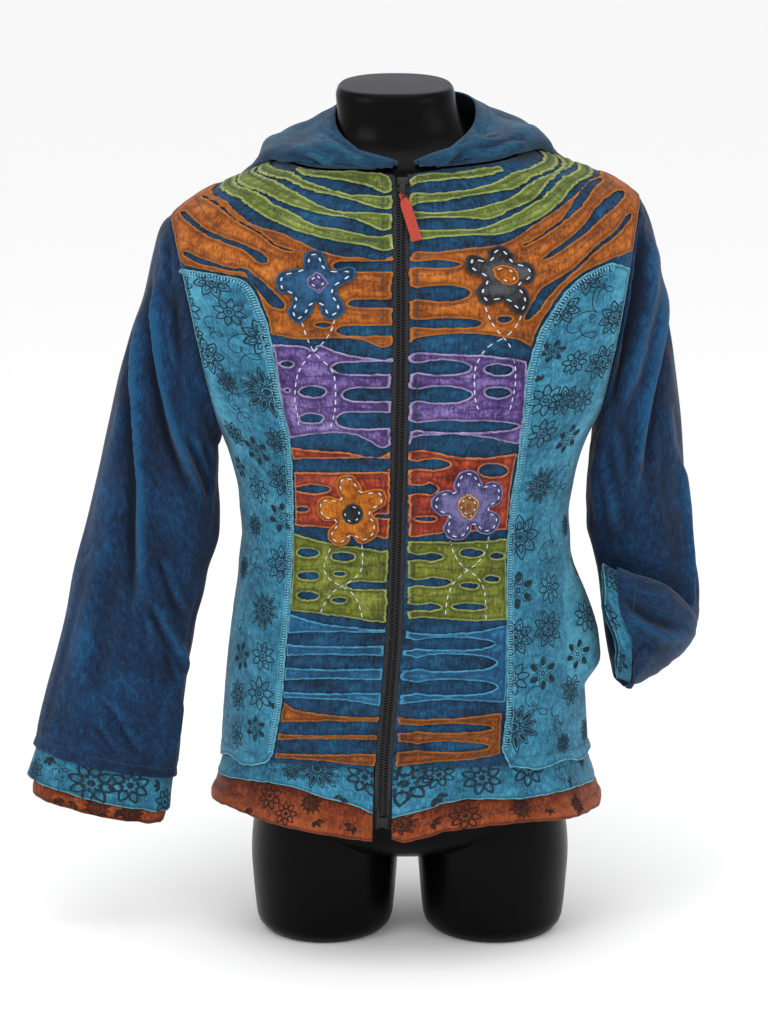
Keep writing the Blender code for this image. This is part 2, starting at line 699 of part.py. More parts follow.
FOLDS = {
    # along the sleeve (0 to 1), turn round it, depth, length, width
    "sleeve_right": ((0.18, 0.12, 0.007, 0.20, 0.05), (0.16, 0.27, -0.006, 0.16, 0.05),
                     (0.45, 0.21, -0.006, 0.30, 0.06), (0.62, 0.36, 0.006, 0.16, 0.07),
                     (0.50, 0.70, -0.006, 0.24, 0.07), (0.20, 0.85, 0.006, 0.18, 0.06)),
    "sleeve_left": ((0.20, 0.14, 0.006, 0.24, 0.05), (0.28, 0.30, -0.006, 0.24, 0.06),
                    (0.40, 0.72, -0.006, 0.20, 0.07)),
}
FOLD_END = {"sleeve_right": (0.80, 0.90), "sleeve_left": (0.45, 0.60)}
CUFFS = {
    # the sleeve it is sewn in, its last ring, as for the sleeves, and how far it lies inside the sleeve
    "cuff_print_right": ("print", "sleeve_right", (26, 773, 172, 808, 0.040, -0.019, 0), 0.0026),
    "cuff_orange_right": ("rust", "sleeve_right", (31, 791, 166, 820, 0.038, -0.020, 0), 0.0044),
    "cuff_print_left": ("print", "sleeve_left", (603, 562, 603, 679, 0.029, -0.037, 180), 0.0026),
    "cuff_orange_left": ("rust", "sleeve_left", (607, 566, 607, 674, 0.028, -0.037, 180), 0.0050),
}


def view_ring(row):
    """The ring of points between an outer and an inner point; it turns from outer to front to inner."""
    outer_across, outer_down, inner_across, inner_down, half_depth, depth, front_turn = row
    outer = at_depth(outer_across, outer_down, depth)
    inner = at_depth(inner_across, inner_down, depth)
    major = (outer - inner) / 2
    forward = Vector((0, -1, 0))
    upward = forward.cross(major).normalized()
    front_turn = math.radians(front_turn)
    minor = (forward * math.cos(front_turn) + upward * math.sin(front_turn)) * half_depth
    return [(outer + inner) / 2 + major * math.cos(math.tau * step / RING_POINTS)
            + minor * math.sin(math.tau * step / RING_POINTS) for step in range(RING_POINTS)]


def armhole_ring(side):
    """The sleeve's first ring, along the armhole's cut."""
    ring = []
    for step in range(RING_POINTS):
        angle = math.tau * step / RING_POINTS
        height = armhole_height(side, angle)
        turn = side * armhole_turn(side, height)
        ring.append(lay(turn if math.sin(angle) >= 0 else 2 - turn, height, 0))
    along = (ring[0] - ring[RING_POINTS // 2]).normalized()
    away = along.cross(Vector((0, 1, 0))).normalized()
    if away.x * side < 0:
        away.negate()
    return [point + away * SLEEVE_GAP for point in ring]


def inset(ring, distance):
    """A ring moved inward in its own plane."""
    middle = sum(ring, Vector()) / len(ring)
    across = sum(((ring[at] - middle).cross(ring[(at + 1) % len(ring)] - middle)
                  for at in range(len(ring))), Vector()).normalized()
    moved = []
    for at, point in enumerate(ring):
        run = (ring[(at + 1) % len(ring)] - ring[at - 1]).normalized()
        inward = across.cross(run)
        if inward.dot(middle - point) < 0:
            inward.negate()
        moved.append(point + inward * distance)
    return moved


def fold_depth(name, along, turn):
    """How far the folds lift a sleeve's surface at a place on it."""
    total = 0.0
    for fold_along, fold_turn, depth, length, width in FOLDS[name]:
        aside = abs((turn - fold_turn + 0.5) % 1 - 0.5)
        total += depth * math.exp(-((along - fold_along) / length) ** 2 - (aside / width) ** 2)
    return total * ease(along, 0.0, 0.12) * (1 - ease(along, *FOLD_END[name]))


def tube(name, rings, wall, material):
    """An open tube of cloth through outer rings, with its inner side and both rims."""
    inner = [inset(ring, wall) for ring in reversed(rings)]
    return loft(name, rings + inner, material, caps=False, looped=True)


def build_sleeve(name, row, material):
    side, rows = row
    plain = [armhole_ring(side)] + [view_ring(ring) for ring in rows]
    rings = []
    for at, ring in enumerate(plain):
        along = at / (len(plain) - 1)
        outward = inset(ring, -1.0)
        rings.append([point + (outward[step] - point) * fold_depth(name, along, step / RING_POINTS)
                      for step, point in enumerate(ring)])
    return tube(name, rings, SLEEVE_WALL, material)


def mix(first, second, share):
    return [start + (end - start) * share for start, end in zip(first, second)]


def build_cuff(name, row, materials):
    """A band sewn inside a sleeve's end and hanging out of it."""
    colour, sleeve, last, distance = row
    before, end = SLEEVES[sleeve][1][-2:]
    rings = [(mix(before, end, 0.6), 1.0), (end, 1.0), (mix(end, last, 0.5), 0.9), (last, 0.6)]
    return tube(name, [inset(view_ring(ring), distance * share) for ring, share in rings], PATCH_WALL,
                materials[colour])


# Hem bands, from one edge of the zip round the back to the other
BANDS = {
    # height above the floor, lift of the outer face
    "hem_band_print": ("print", ((0.224, -0.0018), (0.190, -0.0018), (0.176, 0.0015), (0.162, 0.0050)), 0.0),
    "hem_band_orange": ("rust", ((0.216, -0.0038), (0.178, -0.0035), (0.160, 0.0020), (0.148, 0.0080),
                                 (0.140, 0.0110)), 0.010),
}
BAND_WALL = 0.0012
BAND_EDGE = 0.0092       # from the zip's middle
BAND_WAVES = 9
BAND_WAVE = 0.0016


def build_band(name, row, materials):
    colour, profile, dip = row
    start = turn_at(zip_x(0.17) + BAND_EDGE, 0.17)
    stop = 4 + turn_at(zip_x(0.17) - BAND_EDGE, 0.17)
    turns = [start] + [column / QUARTER_COLUMNS for column in range(1, 4 * QUARTER_COLUMNS)] + [stop]
    lines = []
    for turn in turns:
        facing = max(math.cos(turn * math.pi / 2), 0) ** 8
        line = []
        for height, lift in profile:
            low = ease(0.19 - height, 0.0, 0.04)
            wave = BAND_WAVE * low * math.sin(turn * BAND_WAVES * math.pi / 2)
            line.append(lay(turn, height - dip * facing * low, lift + wave))
        lines.append(line)
    band = loft(name, lines, materials[colour], closed=False, caps=False, toward=Vector((1, 0, 0)),
                face_at=QUARTER_COLUMNS)
    solidify(band, BAND_WALL, outward=False)
    return band


# The hood, lying back: each row is one side's section from the neckline seam to the face edge
HOOD_WALL = 0.0018
HOOD_SEAM = 0.0012       # off the neckline
HOOD = (
    # turn of the seam, then x, y, z of the bag's inner edge, outer edge, crest and face edge
    (0.10, (0.013, -0.0745, 0.7830), (0.013, -0.0765, 0.7870), (0.011, -0.0720, 0.7905), (0.0075, -0.0660, 0.7885)),
    (0.35, (0.056, -0.0690, 0.7880), (0.057, -0.0730, 0.7950), (0.047, -0.0660, 0.8010), (0.0370, -0.0570, 0.7960)),
    (0.60, (0.097, -0.0590, 0.7900), (0.100, -0.0620, 0.7980), (0.082, -0.0520, 0.8090), (0.0540, -0.0440, 0.8060)),
    (0.80, (0.126, -0.0380, 0.7895), (0.131, -0.0400, 0.7980), (0.101, -0.0280, 0.8105), (0.0660, -0.0220, 0.8180)),
    (1.00, (0.147, -0.0020, 0.7860), (0.152, 0.0020, 0.7940), (0.115, 0.0050, 0.8110), (0.0690, 0.0100, 0.8310)),
    (1.25, (0.146, 0.0620, 0.7520), (0.158, 0.0760, 0.7650), (0.128, 0.0620, 0.8080), (0.0660, 0.0420, 0.8370)),
    (1.50, (0.112, 0.1130, 0.7000), (0.128, 0.1420, 0.7130), (0.105, 0.1140, 0.8000), (0.0530, 0.0640, 0.8410)),
    (1.75, (0.060, 0.1260, 0.6720), (0.068, 0.1620, 0.6820), (0.058, 0.1460, 0.7920), (0.0290, 0.0780, 0.8430)),
    (1.998, (0.0003, 0.1280, 0.6620), (0.0003, 0.1680, 0.6700), (0.0003, 0.1580, 0.7870), (0.0003, 0.0830, 0.8440)),
)
HOOD_CLEAR = 0.0045      # over the shoulders and the patches on them


def clear_of_body(point, distance):
    """Push a point of the hood out until it is clear of the back and the shoulders."""
    height = level(point)
    if height >= HEIGHTS[-1]:
        return point
    side = read(BODY, 1, height)
    depth = read(BODY, 2 if point.y < 0 else 3, height)
    reach = ((abs(point.x) / side) ** ROUNDNESS + (abs(point.y) / depth) ** ROUNDNESS) ** (1 / ROUNDNESS)
    least = 1 + distance / min(side, depth)
    if reach >= least:
        return point
    return Vector((point.x * least / reach, point.y * least / reach, point.z))


def hood_section(row, side):
    """Points from the neckline seam, down into the bag, back over it and up to the face edge."""
    turn = row[0]
    bag, outer, crest, face = (Vector((side * place[0], place[1], place[2] + SHOULDER_TILT * side * place[0]))
                               for place in row[1:])
    seam = lay(side * turn if side > 0 else 4 - turn, neck_height(turn), HOOD_SEAM)
    seam.z += 0.0015
    section = [seam]
    section += [clear_of_body(seam.lerp(bag, share) + Vector((0, 0, 0.002)), HOOD_CLEAR + more)
                for share, more in ((0.15, 0.002), (0.35, 0.004), (0.65, 0.003))]
    section += [clear_of_body(bag, HOOD_CLEAR), clear_of_body(outer, HOOD_CLEAR + 0.002)]
    bow = (outer - bag) * 0.35
    section += [outer.lerp(crest, 0.5) + bow, crest, crest.lerp(face, 0.5) - Vector((0, 0, 0.003)), face]
    return section


def build_hood(name, side, material):
    keyed = [hood_section(row, side) for row in HOOD]
    sections = []
    for at, section in enumerate(keyed[:-1]):
        sections.append(section)
        before, after = keyed[max(at - 1, 0)], keyed[min(at + 2, len(keyed) - 1)]
        sections.append([(a + b) * 0.5625 - (c + d) * 0.0625
                         for a, b, c, d in zip(section, keyed[at + 1], before, after)])
    sections.append(keyed[-1])
    middle_row = len(sections) - 1
    hood = loft(name, sections, material, closed=False, caps=False, toward=Vector((0, 1, 0)),
                face_at=middle_row - 1)
    solidify(hood, HOOD_WALL, outward=True)
    return hood


# The display form: pelvis and chest below the shoulders, then the neck; the shoulders follow the cloth
FORM_COLUMNS = 16
FORM_LOW = (
    # height, half width, front depth, back depth
    (0.086, 0.100, 0.050, 0.058),
    (0.100, 0.132, 0.080, 0.084),
    (0.122, 0.149, 0.097, 0.099),
    (0.155, 0.159, 0.105, 0.104),
    (0.190, 0.163, 0.108, 0.105),
    (0.235, 0.162, 0.109, 0.103),
    (0.285, 0.159, 0.109, 0.100),
    (0.335, 0.154, 0.107, 0.095),
    (0.385, 0.149, 0.106, 0.089),
    (0.430, 0.148, 0.107, 0.088),
    (0.470, 0.153, 0.110, 0.092),
    (0.510, 0.165, 0.114, 0.099),
    (0.550, 0.182, 0.118, 0.106),
    (0.590, 0.198, 0.119, 0.112),
    (0.630, 0.214, 0.116, 0.116),
    (0.670, 0.229, 0.109, 0.117),
)
FORM_SHOULDERS = (0.705, 0.738, 0.757, 0.771, 0.783)
FORM_NECK = (
    # height, half width, front depth, back depth, slope of the ring toward the front
    (0.7920, 0.1030, 0.0545, 0.0680, 0.0),
    (0.8000, 0.0810, 0.0500, 0.0640, 0.0),
    (0.8090, 0.0680, 0.0465, 0.0625, 0.0),
    (0.8220, 0.0610, 0.0450, 0.0620, 0.0),
    (0.8400, 0.0585, 0.0450, 0.0625, 0.05),
    (0.8540, 0.0580, 0.0455, 0.0630, 0.11),
    (0.8595, 0.0565, 0.0440, 0.0615, 0.12),
    (0.8620, 0.0530, 0.0405, 0.0580, 0.12),
)
NECK_LEAN = 0.010        # toward -X at the cap
FORM_SHOULDER_INSET = 0.014
SHOULDER_CUT = 0.4       # side of the block that cuts each shoulder flat
THIGHS = {"thigh_right": -0.078, "thigh_left": 0.092}
THIGH = (
    # height, half width, half depth
    (0.000, 0.052, 0.062),
    (0.004, 0.060, 0.070),
    (0.014, 0.0655, 0.077),
    (0.050, 0.0685, 0.083),
    (0.090, 0.0700, 0.087),
    (0.150, 0.0640, 0.082),
)


def form_ring(half, front, back, height, slope=0.0, lean=0.0):
    ring = []
    for step in range(FORM_COLUMNS):
        angle = math.tau * step / FORM_COLUMNS
        x = half * power(math.sin(angle))
        y = -(front if math.cos(angle) > 0 else back) * power(math.cos(angle))
        tilt = SHOULDER_TILT * x * ease(height, TILT_FROM, TILT_TO) * (1 - ease(height, 0.79, 0.83))
        ring.append(Vector((x + lean, y, height + slope * (y - 0.01) + tilt)))
    return ring


def join(body, other, operation):
    other.hide_render = True
    other.display_type = "WIRE"
    cutters.objects.link(other)
    parts.objects.unlink(other)
    boolean = body.modifiers.new(other.name, "BOOLEAN")
    boolean.operation = operation
    boolean.object = other


def build_form(material):
    rings = [form_ring(half, front, back, height) for height, half, front, back in FORM_LOW]
    for height in FORM_SHOULDERS:
        rings.append([lay(4 * step / FORM_COLUMNS, height, -(WALL + FORM_GAP))
                      for step in range(FORM_COLUMNS)])
    for height, half, front, back, slope in FORM_NECK:
        rings.append(form_ring(half, front, back, height, slope, -NECK_LEAN * ease(height, 0.79, 0.85)))
    form = loft("display_form", rings, material)
    for name, middle in THIGHS.items():
        thigh = loft(name, [[Vector((middle + half * math.sin(math.tau * step / FORM_COLUMNS),
                                     -deep * math.cos(math.tau * step / FORM_COLUMNS), height))
                             for step in range(FORM_COLUMNS)] for height, half, deep in THIGH], material)
        join(form, thigh, "UNION")
    for side in (-1, 1):
        low, high = ARMPIT[side], SHOULDER_TIP
        start, end = read(BODY, 1, low), read(BODY, 1, high)
        lean = math.atan2(end - start, high - low)
        bpy.ops.mesh.primitive_cube_add(size=SHOULDER_CUT)
        cut = claim("shoulder_cut_right" if side < 0 else "shoulder_cut_left")
        turn = Matrix.Rotation(side * lean, 4, "Y")
        place = Vector((side * (start - FORM_SHOULDER_INSET), 0, low))
        beside = Vector((side * SHOULDER_CUT / 2, 0, SHOULDER_CUT / 4))
        cut.data.transform(Matrix.Translation(place) @ turn @ Matrix.Translation(beside))
        join(form, cut, "DIFFERENCE")
    return form


# The zip: tapes and chain between the fronts, the slider and its pull
SLIDER_HEIGHT = 0.7655
SLIDER_LIFT = 0.0017
SLIDER = (0.0112, 0.0150, 0.0024)        # width, height, thickness
EAR = (0.0012, 0.0042, 0.0040)
EAR_ACROSS = 0.0044
AXIS_LIFT = SLIDER_LIFT + SLIDER[2] + 0.0024
TAB = (0.0062, 0.0150, 0.0016)
BARREL_RADIUS, BARREL_LENGTH = 0.0014, 0.0068
STRIP = (0.0105, 0.0440, 0.0012)
STRIP_TURN = math.radians(17)
STRIP_ASIDE, STRIP_GAP = 0.0010, 0.0013  # its top, beside and below the tab's end


def zip_strip(name, inner, outer, top, lift, wall, material):
    """A length of the zip between two distances from its middle line, lift at its outer face."""
    heights = [ZIP_LOW, 0.20] + ZIP_HEIGHTS + [top]
    outline = [(turn_at(zip_x(height) + inner, height), height) for height in heights]
    outline += [(turn_at(zip_x(height) + outer, height), height) for height in reversed(heights)]
    return sheet(name, outline, material, (), lift, wall, outward=False)


def slider_frame():
    """Place on the chest under the slider: across, down the chest and out of it."""
    top, low = (lay(turn_at(zip_x(height), height), height, 0) for height in (0.771, 0.715))
    down = (low - top).normalized()
    across = (Vector((1, 0, 0)) - down * down.x).normalized()
    out = down.cross(across).normalized()
    if out.y > 0:
        out.negate()
    origin = lay(turn_at(zip_x(SLIDER_HEIGHT), SLIDER_HEIGHT), SLIDER_HEIGHT, 0)
    return origin, Matrix((across, -down, out)).transposed().to_4x4()


def block(name, size, place, material, bevel=0.0):
    """A box in the slider's own axes: x across, y up the chest, z out of it."""
    bpy.ops.mesh.primitive_cube_add(size=1)
    thing = claim(name)
    thing.data.transform(Matrix.Translation(place) @ Matrix.Diagonal((*size, 1)))
    thing.data.materials.append(material)
    if bevel:
        edge = thing.modifiers.new("edge", "BEVEL")
        edge.width = bevel
        edge.segments = 2
    return thing


def build_slider(material):
    origin, axes = slider_frame()
    slider = block("zip_slider", SLIDER, (0, 0, SLIDER_LIFT + SLIDER[2] / 2), material)
    slider.matrix_world = Matrix.Translation(origin) @ axes
    for side in (-1, 1):
        ear = block("ear_left" if side > 0 else "ear_right", EAR,
                    (side * EAR_ACROSS, 0, AXIS_LIFT - 0.0008), material)
        ear.matrix_world = slider.matrix_world
        join(slider, ear, "UNION")
    return slider


def build_pull(plastic, cord):
    """The tab on its pin between the ears, and the bare strip knotted to its end."""
    origin, axes = slider_frame()
    frame = Matrix.Translation(origin + axes.to_3x3() @ Vector((0, 0, AXIS_LIFT))) @ axes
    tab = block("zip_pull_tab", TAB, (0, -TAB[1] / 2, 0), plastic)
    tab.matrix_world = frame
    bpy.ops.mesh.primitive_cylinder_add(vertices=14, radius=BARREL_RADIUS, depth=BARREL_LENGTH)
    barrel = claim("tab_pin")
    barrel.data.transform(Matrix.Rotation(math.pi / 2, 4, "Y"))
    barrel.matrix_world = frame
    join(tab, barrel, "UNION")
    strip = block("zip_pull_strip", STRIP, (0, -STRIP[1] / 2, 0), cord)
    hung = Matrix.Translation((STRIP_ASIDE, -TAB[1] - STRIP_GAP, 0)) @ Matrix.Rotation(STRIP_TURN, 4, "Z")
    strip.data.transform(hung)
    strip.matrix_world = frame
    return tab, strip


def stand_at_origin():
    """Move everything so that the origin is below the middle of the whole, on the floor."""
    bpy.context.view_layer.update()
    drawn = bpy.context.evaluated_depsgraph_get()
    corners = []
    for thing in parts.objects:
        shape = thing.evaluated_get(drawn)
        corners += [shape.matrix_world @ vert.co for vert in shape.data.vertices]
    low = [min(corner[axis] for corner in corners) for axis in range(3)]
    high = [max(corner[axis] for corner in corners) for axis in range(3)]
    shift = Vector((-(low[0] + high[0]) / 2, -(low[1] + high[1]) / 2, -low[2]))
    for thing in list(parts.objects) + list(cutters.objects):
        thing.matrix_world = Matrix.Translation(shift) @ thing.matrix_world
    return shift


def build():
    for thing in list(bpy.data.objects):
        bpy.data.objects.remove(thing)
    for collection in (parts, cutters):
        bpy.context.scene.collection.children.link(collection)
    teal = finish("teal_jersey", "#1F4A68")
    teal_hood = finish("teal_jersey_hood", "#2A5878")
    green = finish("green_jersey", "#76904A")
    colours = {
        "orange": finish("orange_jersey", "#B5701F"),
        "purple": finish("purple_jersey", "#6A4F86"),
        "red": finish("red_jersey", "#9A4030"),
        "olive": finish("olive_jersey", "#82902F"),
        "sky": finish("sky_jersey", "#3F8FBF"),
        "denim": finish("denim_blue_jersey", "#2D5F86"),
        "charcoal": finish("charcoal_jersey", "#3B3C42"),
        "lavender": finish("lavender_jersey", "#7D78AD"),
        "brown": finish("brown_jersey", "#7A5A3C"),
        "print": finish("printed_blue_jersey", "#3F87A8"),
        "rust": finish("printed_rust_jersey", "#B4552A"),
    }
    black = finish("black_zip_plastic", "#1A1A1C", 0.45)
    tape = finish("black_zip_tape", "#141416", 0.9)
    form_black = finish("black_form_plastic", "#1B1B1F", 0.3)
    red_cord = finish("red_pull_cloth", "#E0492C", 0.7)

    build_front("front_base_right", -1, teal)
    build_front("front_base_left", 1, teal)
    build_back("back", teal)
    for name, row in PATCHES.items():
        build_patch(name, row, colours)
    for name, row in STRIPS.items():
        build_strip(name, row, green)
    for name, row in YOKES.items():
        build_yoke(name, row, colours["orange"])
    for name, row in SIDE_PANELS.items():
        build_side_panel(name, row, colours["print"])
    for name, row in FLOWERS.items():
        build_flower(name, row, colours)
    for name, row in CENTRES.items():
        build_centre(name, row, colours)
    for name, row in SLEEVES.items():
        build_sleeve(name, row, teal)
    for name, row in CUFFS.items():
        build_cuff(name, row, colours)
    for name, row in BANDS.items():
        build_band(name, row, colours)
    build_hood("hood_right", -1, teal_hood)
    build_hood("hood_left", 1, teal_hood)
    build_form(form_black)
    zip_strip("zip_tape_right", -TAPE_OUTER, -TAPE_INNER, 0.772, -0.0002, 0.0009, tape)
    zip_strip("zip_tape_left", TAPE_INNER, TAPE_OUTER, 0.772, -0.0002, 0.0009, tape)
    zip_strip("zip_chain", -CHAIN_HALF, CHAIN_HALF, 0.770, 0.0013, 0.0025, black)
    build_slider(black)
    build_pull(black, red_cord)
    return stand_at_origin()


build()
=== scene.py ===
"""Patchwork zip jacket with a hood, worn by a limbless display form.

Every cloth piece is cut flat, laid on the body's surface and given a wall. Metres, +Z up, the zip
faces -Y. Places on the front are millimetres of the front view, 768 across and 1024 down.
"""
import math

import bmesh
import bpy
import numpy as np
from mathutils import Matrix, Vector, geometry, noise


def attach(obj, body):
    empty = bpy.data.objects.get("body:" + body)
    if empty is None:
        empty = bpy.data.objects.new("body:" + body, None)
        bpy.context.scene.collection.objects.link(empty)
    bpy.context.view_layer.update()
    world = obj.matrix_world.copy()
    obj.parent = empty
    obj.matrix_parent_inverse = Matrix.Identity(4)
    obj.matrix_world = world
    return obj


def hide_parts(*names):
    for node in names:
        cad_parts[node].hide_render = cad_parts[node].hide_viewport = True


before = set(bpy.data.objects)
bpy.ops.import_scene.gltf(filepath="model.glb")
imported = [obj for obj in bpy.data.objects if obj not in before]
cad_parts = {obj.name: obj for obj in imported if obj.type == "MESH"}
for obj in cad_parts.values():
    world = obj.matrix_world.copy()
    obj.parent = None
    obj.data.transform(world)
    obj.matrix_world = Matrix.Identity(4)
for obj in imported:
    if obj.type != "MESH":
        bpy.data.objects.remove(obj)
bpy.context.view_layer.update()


# The view
# A camera at chest height looks down a little on the jacket, in soft light from a large lamp on
# each side and one overhead, on a pale floor that runs back without an edge.
SHIFT = np.array((0.04172, -0.01447, 0.0))
VIEW_CENTRE = np.array((-0.021, 0.0, 0.430))
VIEW_ANGLE = math.radians(12)
VIEW_DISTANCE = 3.4
VIEW_WIDTH, VIEW_HEIGHT = 0.768, 1.024
TOWARD = np.array((0.0, -math.cos(VIEW_ANGLE), math.sin(VIEW_ANGLE)))
UPWARD = np.array((0.0, math.sin(VIEW_ANGLE), math.cos(VIEW_ANGLE)))
EYE = VIEW_CENTRE + TOWARD * VIEW_DISTANCE

camera = bpy.data.objects.new("camera", bpy.data.cameras.new("camera"))
bpy.context.scene.collection.objects.link(camera)
camera.data.sensor_width = 36
camera.data.lens = 36 * VIEW_DISTANCE / VIEW_HEIGHT
camera.location = EYE + SHIFT
camera.rotation_euler = (math.radians(90) - VIEW_ANGLE, 0, 0)
bpy.context.scene.camera = camera


def linear(colour):
    """An sRGB hex colour as the linear values that a shader takes."""
    channels = [int(colour[at:at + 2], 16) / 255 for at in (1, 3, 5)]
    return (*[((c + 0.055) / 1.055) ** 2.4 if c > 0.04045 else c / 12.92 for c in channels], 1.0)


def add(tree, kind, links=None, **settings):
    """Add a node with its settings, its input values and its links."""
    made = tree.nodes.new(kind)
    for key, value in settings.items():
        setattr(made, key, value)
    for key, value in (links or {}).items():
        if isinstance(value, bpy.types.NodeSocket):
            tree.links.new(value, made.inputs[key])
        else:
            made.inputs[key].default_value = value
    return made


def material_of(name):
    """A new material with its tree and its Principled shader."""
    material = bpy.data.materials.new(name)
    material.use_nodes = True
    return material, material.node_tree, material.node_tree.nodes["Principled BSDF"]


bpy.context.scene.view_settings.view_transform = "Standard"
# name, place, size in metres, watts
for name, place, size, watts in (("lamp_left", (-1.9, -2.2, 1.7), 1.5, 24),
                                 ("lamp_right", (2.0, -2.0, 1.6), 1.5, 13),
                                 ("lamp_above", (0.0, -0.7, 2.9), 1.8, 20)):
    lamp = bpy.data.objects.new(name, bpy.data.lights.new(name, "AREA"))
    bpy.context.scene.collection.objects.link(lamp)
    lamp.data.size = size
    lamp.data.energy = watts
    lamp.location = place
    lamp.rotation_euler = (Vector((0.02, 0, 0.5)) - Vector(place)).to_track_quat("-Z", "Y").to_euler()
world = bpy.data.worlds.new("studio")
bpy.context.scene.world = world
world.use_nodes = True
world.node_tree.nodes["Background"].inputs["Color"].default_value = (1, 1, 1, 1)
world.node_tree.nodes["Background"].inputs["Strength"].default_value = 0.98

bpy.ops.object.select_all(action="DESELECT")
bpy.ops.mesh.primitive_plane_add(size=80)
floor = bpy.context.object
floor.name = "floor"
painted, tree, shader = material_of("pale_floor")
shader.inputs["Base Color"].default_value = linear("#FAFAFA")
shader.inputs["Roughness"].default_value = 0.8
floor.data.materials.append(painted)


# Fronts and back
# The jacket under its patches: two fronts and a one-piece back of dark teal cotton jersey, dyed
# and stonewashed, cut flat and sewn at the shoulders and sides, open at the neck and armholes.
ROUNDNESS = 2.3          # of the body's section: 2 is an ellipse, more is boxier
STRETCH = 0.21           # metres of cloth for a quarter turn of the body
BODY = (
    # height, half width, front depth, back depth
    (0.128, 0.187, 0.138, 0.133),
    (0.158, 0.186, 0.137, 0.132),
    (0.188, 0.184, 0.135, 0.128),
    (0.235, 0.181, 0.131, 0.122),
    (0.285, 0.177, 0.127, 0.115),
    (0.335, 0.171, 0.123, 0.108),
    (0.385, 0.164, 0.121, 0.101),
    (0.430, 0.162, 0.121, 0.099),
    (0.470, 0.167, 0.123, 0.103),
    (0.510, 0.179, 0.127, 0.110),
    (0.550, 0.200, 0.130, 0.117),
    (0.590, 0.2155, 0.130, 0.122),
    (0.630, 0.230, 0.125, 0.124),
    (0.670, 0.2407, 0.114, 0.122),
    (0.705, 0.2415, 0.101, 0.116),
    (0.738, 0.230, 0.086, 0.105),
    (0.757, 0.203, 0.077, 0.097),
    (0.771, 0.170, 0.071, 0.090),
    (0.783, 0.138, 0.066, 0.083),
    (0.794, 0.108, 0.061, 0.076),
    (0.803, 0.085, 0.057, 0.070),
)
SHOULDER_TILT, TILT_FROM, TILT_TO = 0.04, 0.62, 0.74
HEM_SIDE, HEM_FRONT = 0.191, 0.203
NECK_FRONT, NECK_SIDE, NECK_BACK = 0.779, 0.792, 0.797
ARMPIT = {-1: 0.511, 1: 0.530}
SHOULDER_TIP = 0.7395
EDGE = 0.985             # how far round to the side an overlay's edge may go
ARMHOLE_INSET = 0.030
SEAM_TURN = 0.0014
ZIP_LINE = ((382, 829), (384, 760), (393.5, 640), (398, 500), (400.5, 380), (401, 184))
ZIP_HALF = 0.0083        # from the zip's middle to the edge of the front
BASE_WALL = 0.0012       # of the fronts and the back; they grow inward from the surface
PALEST_RISE = 0.0016       # a place this far proud of its cloth is drawn fully pale: stonewash wear on puckers, painted highlight on folds


def read(table, column, at):
    """One column of a table of heights, with a smooth curve through its rows."""
    at = np.asarray(at, float)
    heights = np.array([row[0] for row in table], float)
    values = np.array([row[column] for row in table], float)
    before = np.maximum(np.arange(len(table)) - 1, 0)
    after = np.minimum(np.arange(len(table)) + 1, len(table) - 1)
    slopes = (values[after] - values[before]) / (heights[after] - heights[before])
    low = np.clip(np.searchsorted(heights, at) - 1, 0, len(table) - 2)
    span = heights[low + 1] - heights[low]
    part = np.clip((at - heights[low]) / span, 0, 1)
    square, cube = part ** 2, part ** 3
    return ((2 * cube - 3 * square + 1) * values[low] + (cube - 2 * square + part) * span * slopes[low]
            + (3 * square - 2 * cube) * values[low + 1] + (cube - square) * span * slopes[low + 1])


def ease(value, start, end):
    """0 before start, 1 after end, smooth between."""
    part = np.clip((np.asarray(value, float) - start) / (end - start), 0, 1)
    return part * part * (3 - 2 * part)


def power(value):
    """A sine or cosine, squared off as the body's section is."""
    return np.sign(value) * np.abs(value) ** (2 / ROUNDNESS)


def wobble(points, scale, seed):
    """Smooth noise from -1 to 1 at places given in metres; scale is a length for each axis."""
    spread = np.asarray(points, float) / np.asarray(scale, float)
    return np.array([noise.noise(Vector((*(row[:2]), seed + (row[2] if len(row) > 2 else 0))))
                     for row in spread])


def on_body(turn, height, lift=0.0):
    """The place on the jacket's surface; turn is -1 to 1 over the front, from side to side, and
    1 to 3 over the back."""
    turn, height = np.broadcast_arrays(np.asarray(turn, float), np.asarray(height, float))

    def plain(turn, height):
        angle = turn * math.pi / 2
        x = read(BODY, 1, height) * power(np.sin(angle))
        depth = np.where(np.cos(angle) > 0, read(BODY, 2, height), read(BODY, 3, height))
        tilt = SHOULDER_TILT * x * ease(height, TILT_FROM, TILT_TO)
        return np.stack([x, -depth * power(np.cos(angle)), height + tilt], axis=-1)

    round_it = plain(turn + 0.02, height) - plain(turn - 0.02, height)
    up_it = plain(turn, height + 0.004) - plain(turn, height - 0.004)
    normal = np.cross(round_it, up_it)
    normal /= np.linalg.norm(normal, axis=-1, keepdims=True)
    return plain(turn, height) + normal * np.asarray(lift)[..., None] + SHIFT


def at_depth(across, down, depth):
    """The point at that y which the front view shows at (across, down)."""
    across, down = np.asarray(across, float), np.asarray(down, float)
    target = (VIEW_CENTRE + np.multiply.outer(across / 1000 - VIEW_WIDTH / 2, (1.0, 0.0, 0.0))
              + np.multiply.outer(VIEW_HEIGHT / 2 - down / 1000, UPWARD))
    ray = target - EYE
    return EYE + ray * ((depth - EYE[1]) / ray[..., 1])[..., None]


def picture(points):
    """Where the front view shows points of the finished frame, as (across, down)."""
    offset = points - SHIFT - EYE
    away = -(offset @ TOWARD)
    across = (offset[..., 0] / away * VIEW_DISTANCE + VIEW_WIDTH / 2) * 1000
    down = (VIEW_HEIGHT / 2 - (offset @ UPWARD) / away * VIEW_DISTANCE) * 1000
    return across, down


def level(points):
    """Heights before the shoulders were tilted."""
    height = points[:, 2]
    for _ in range(3):
        height = points[:, 2] - SHOULDER_TILT * points[:, 0] * ease(height, TILT_FROM, TILT_TO)
    return height


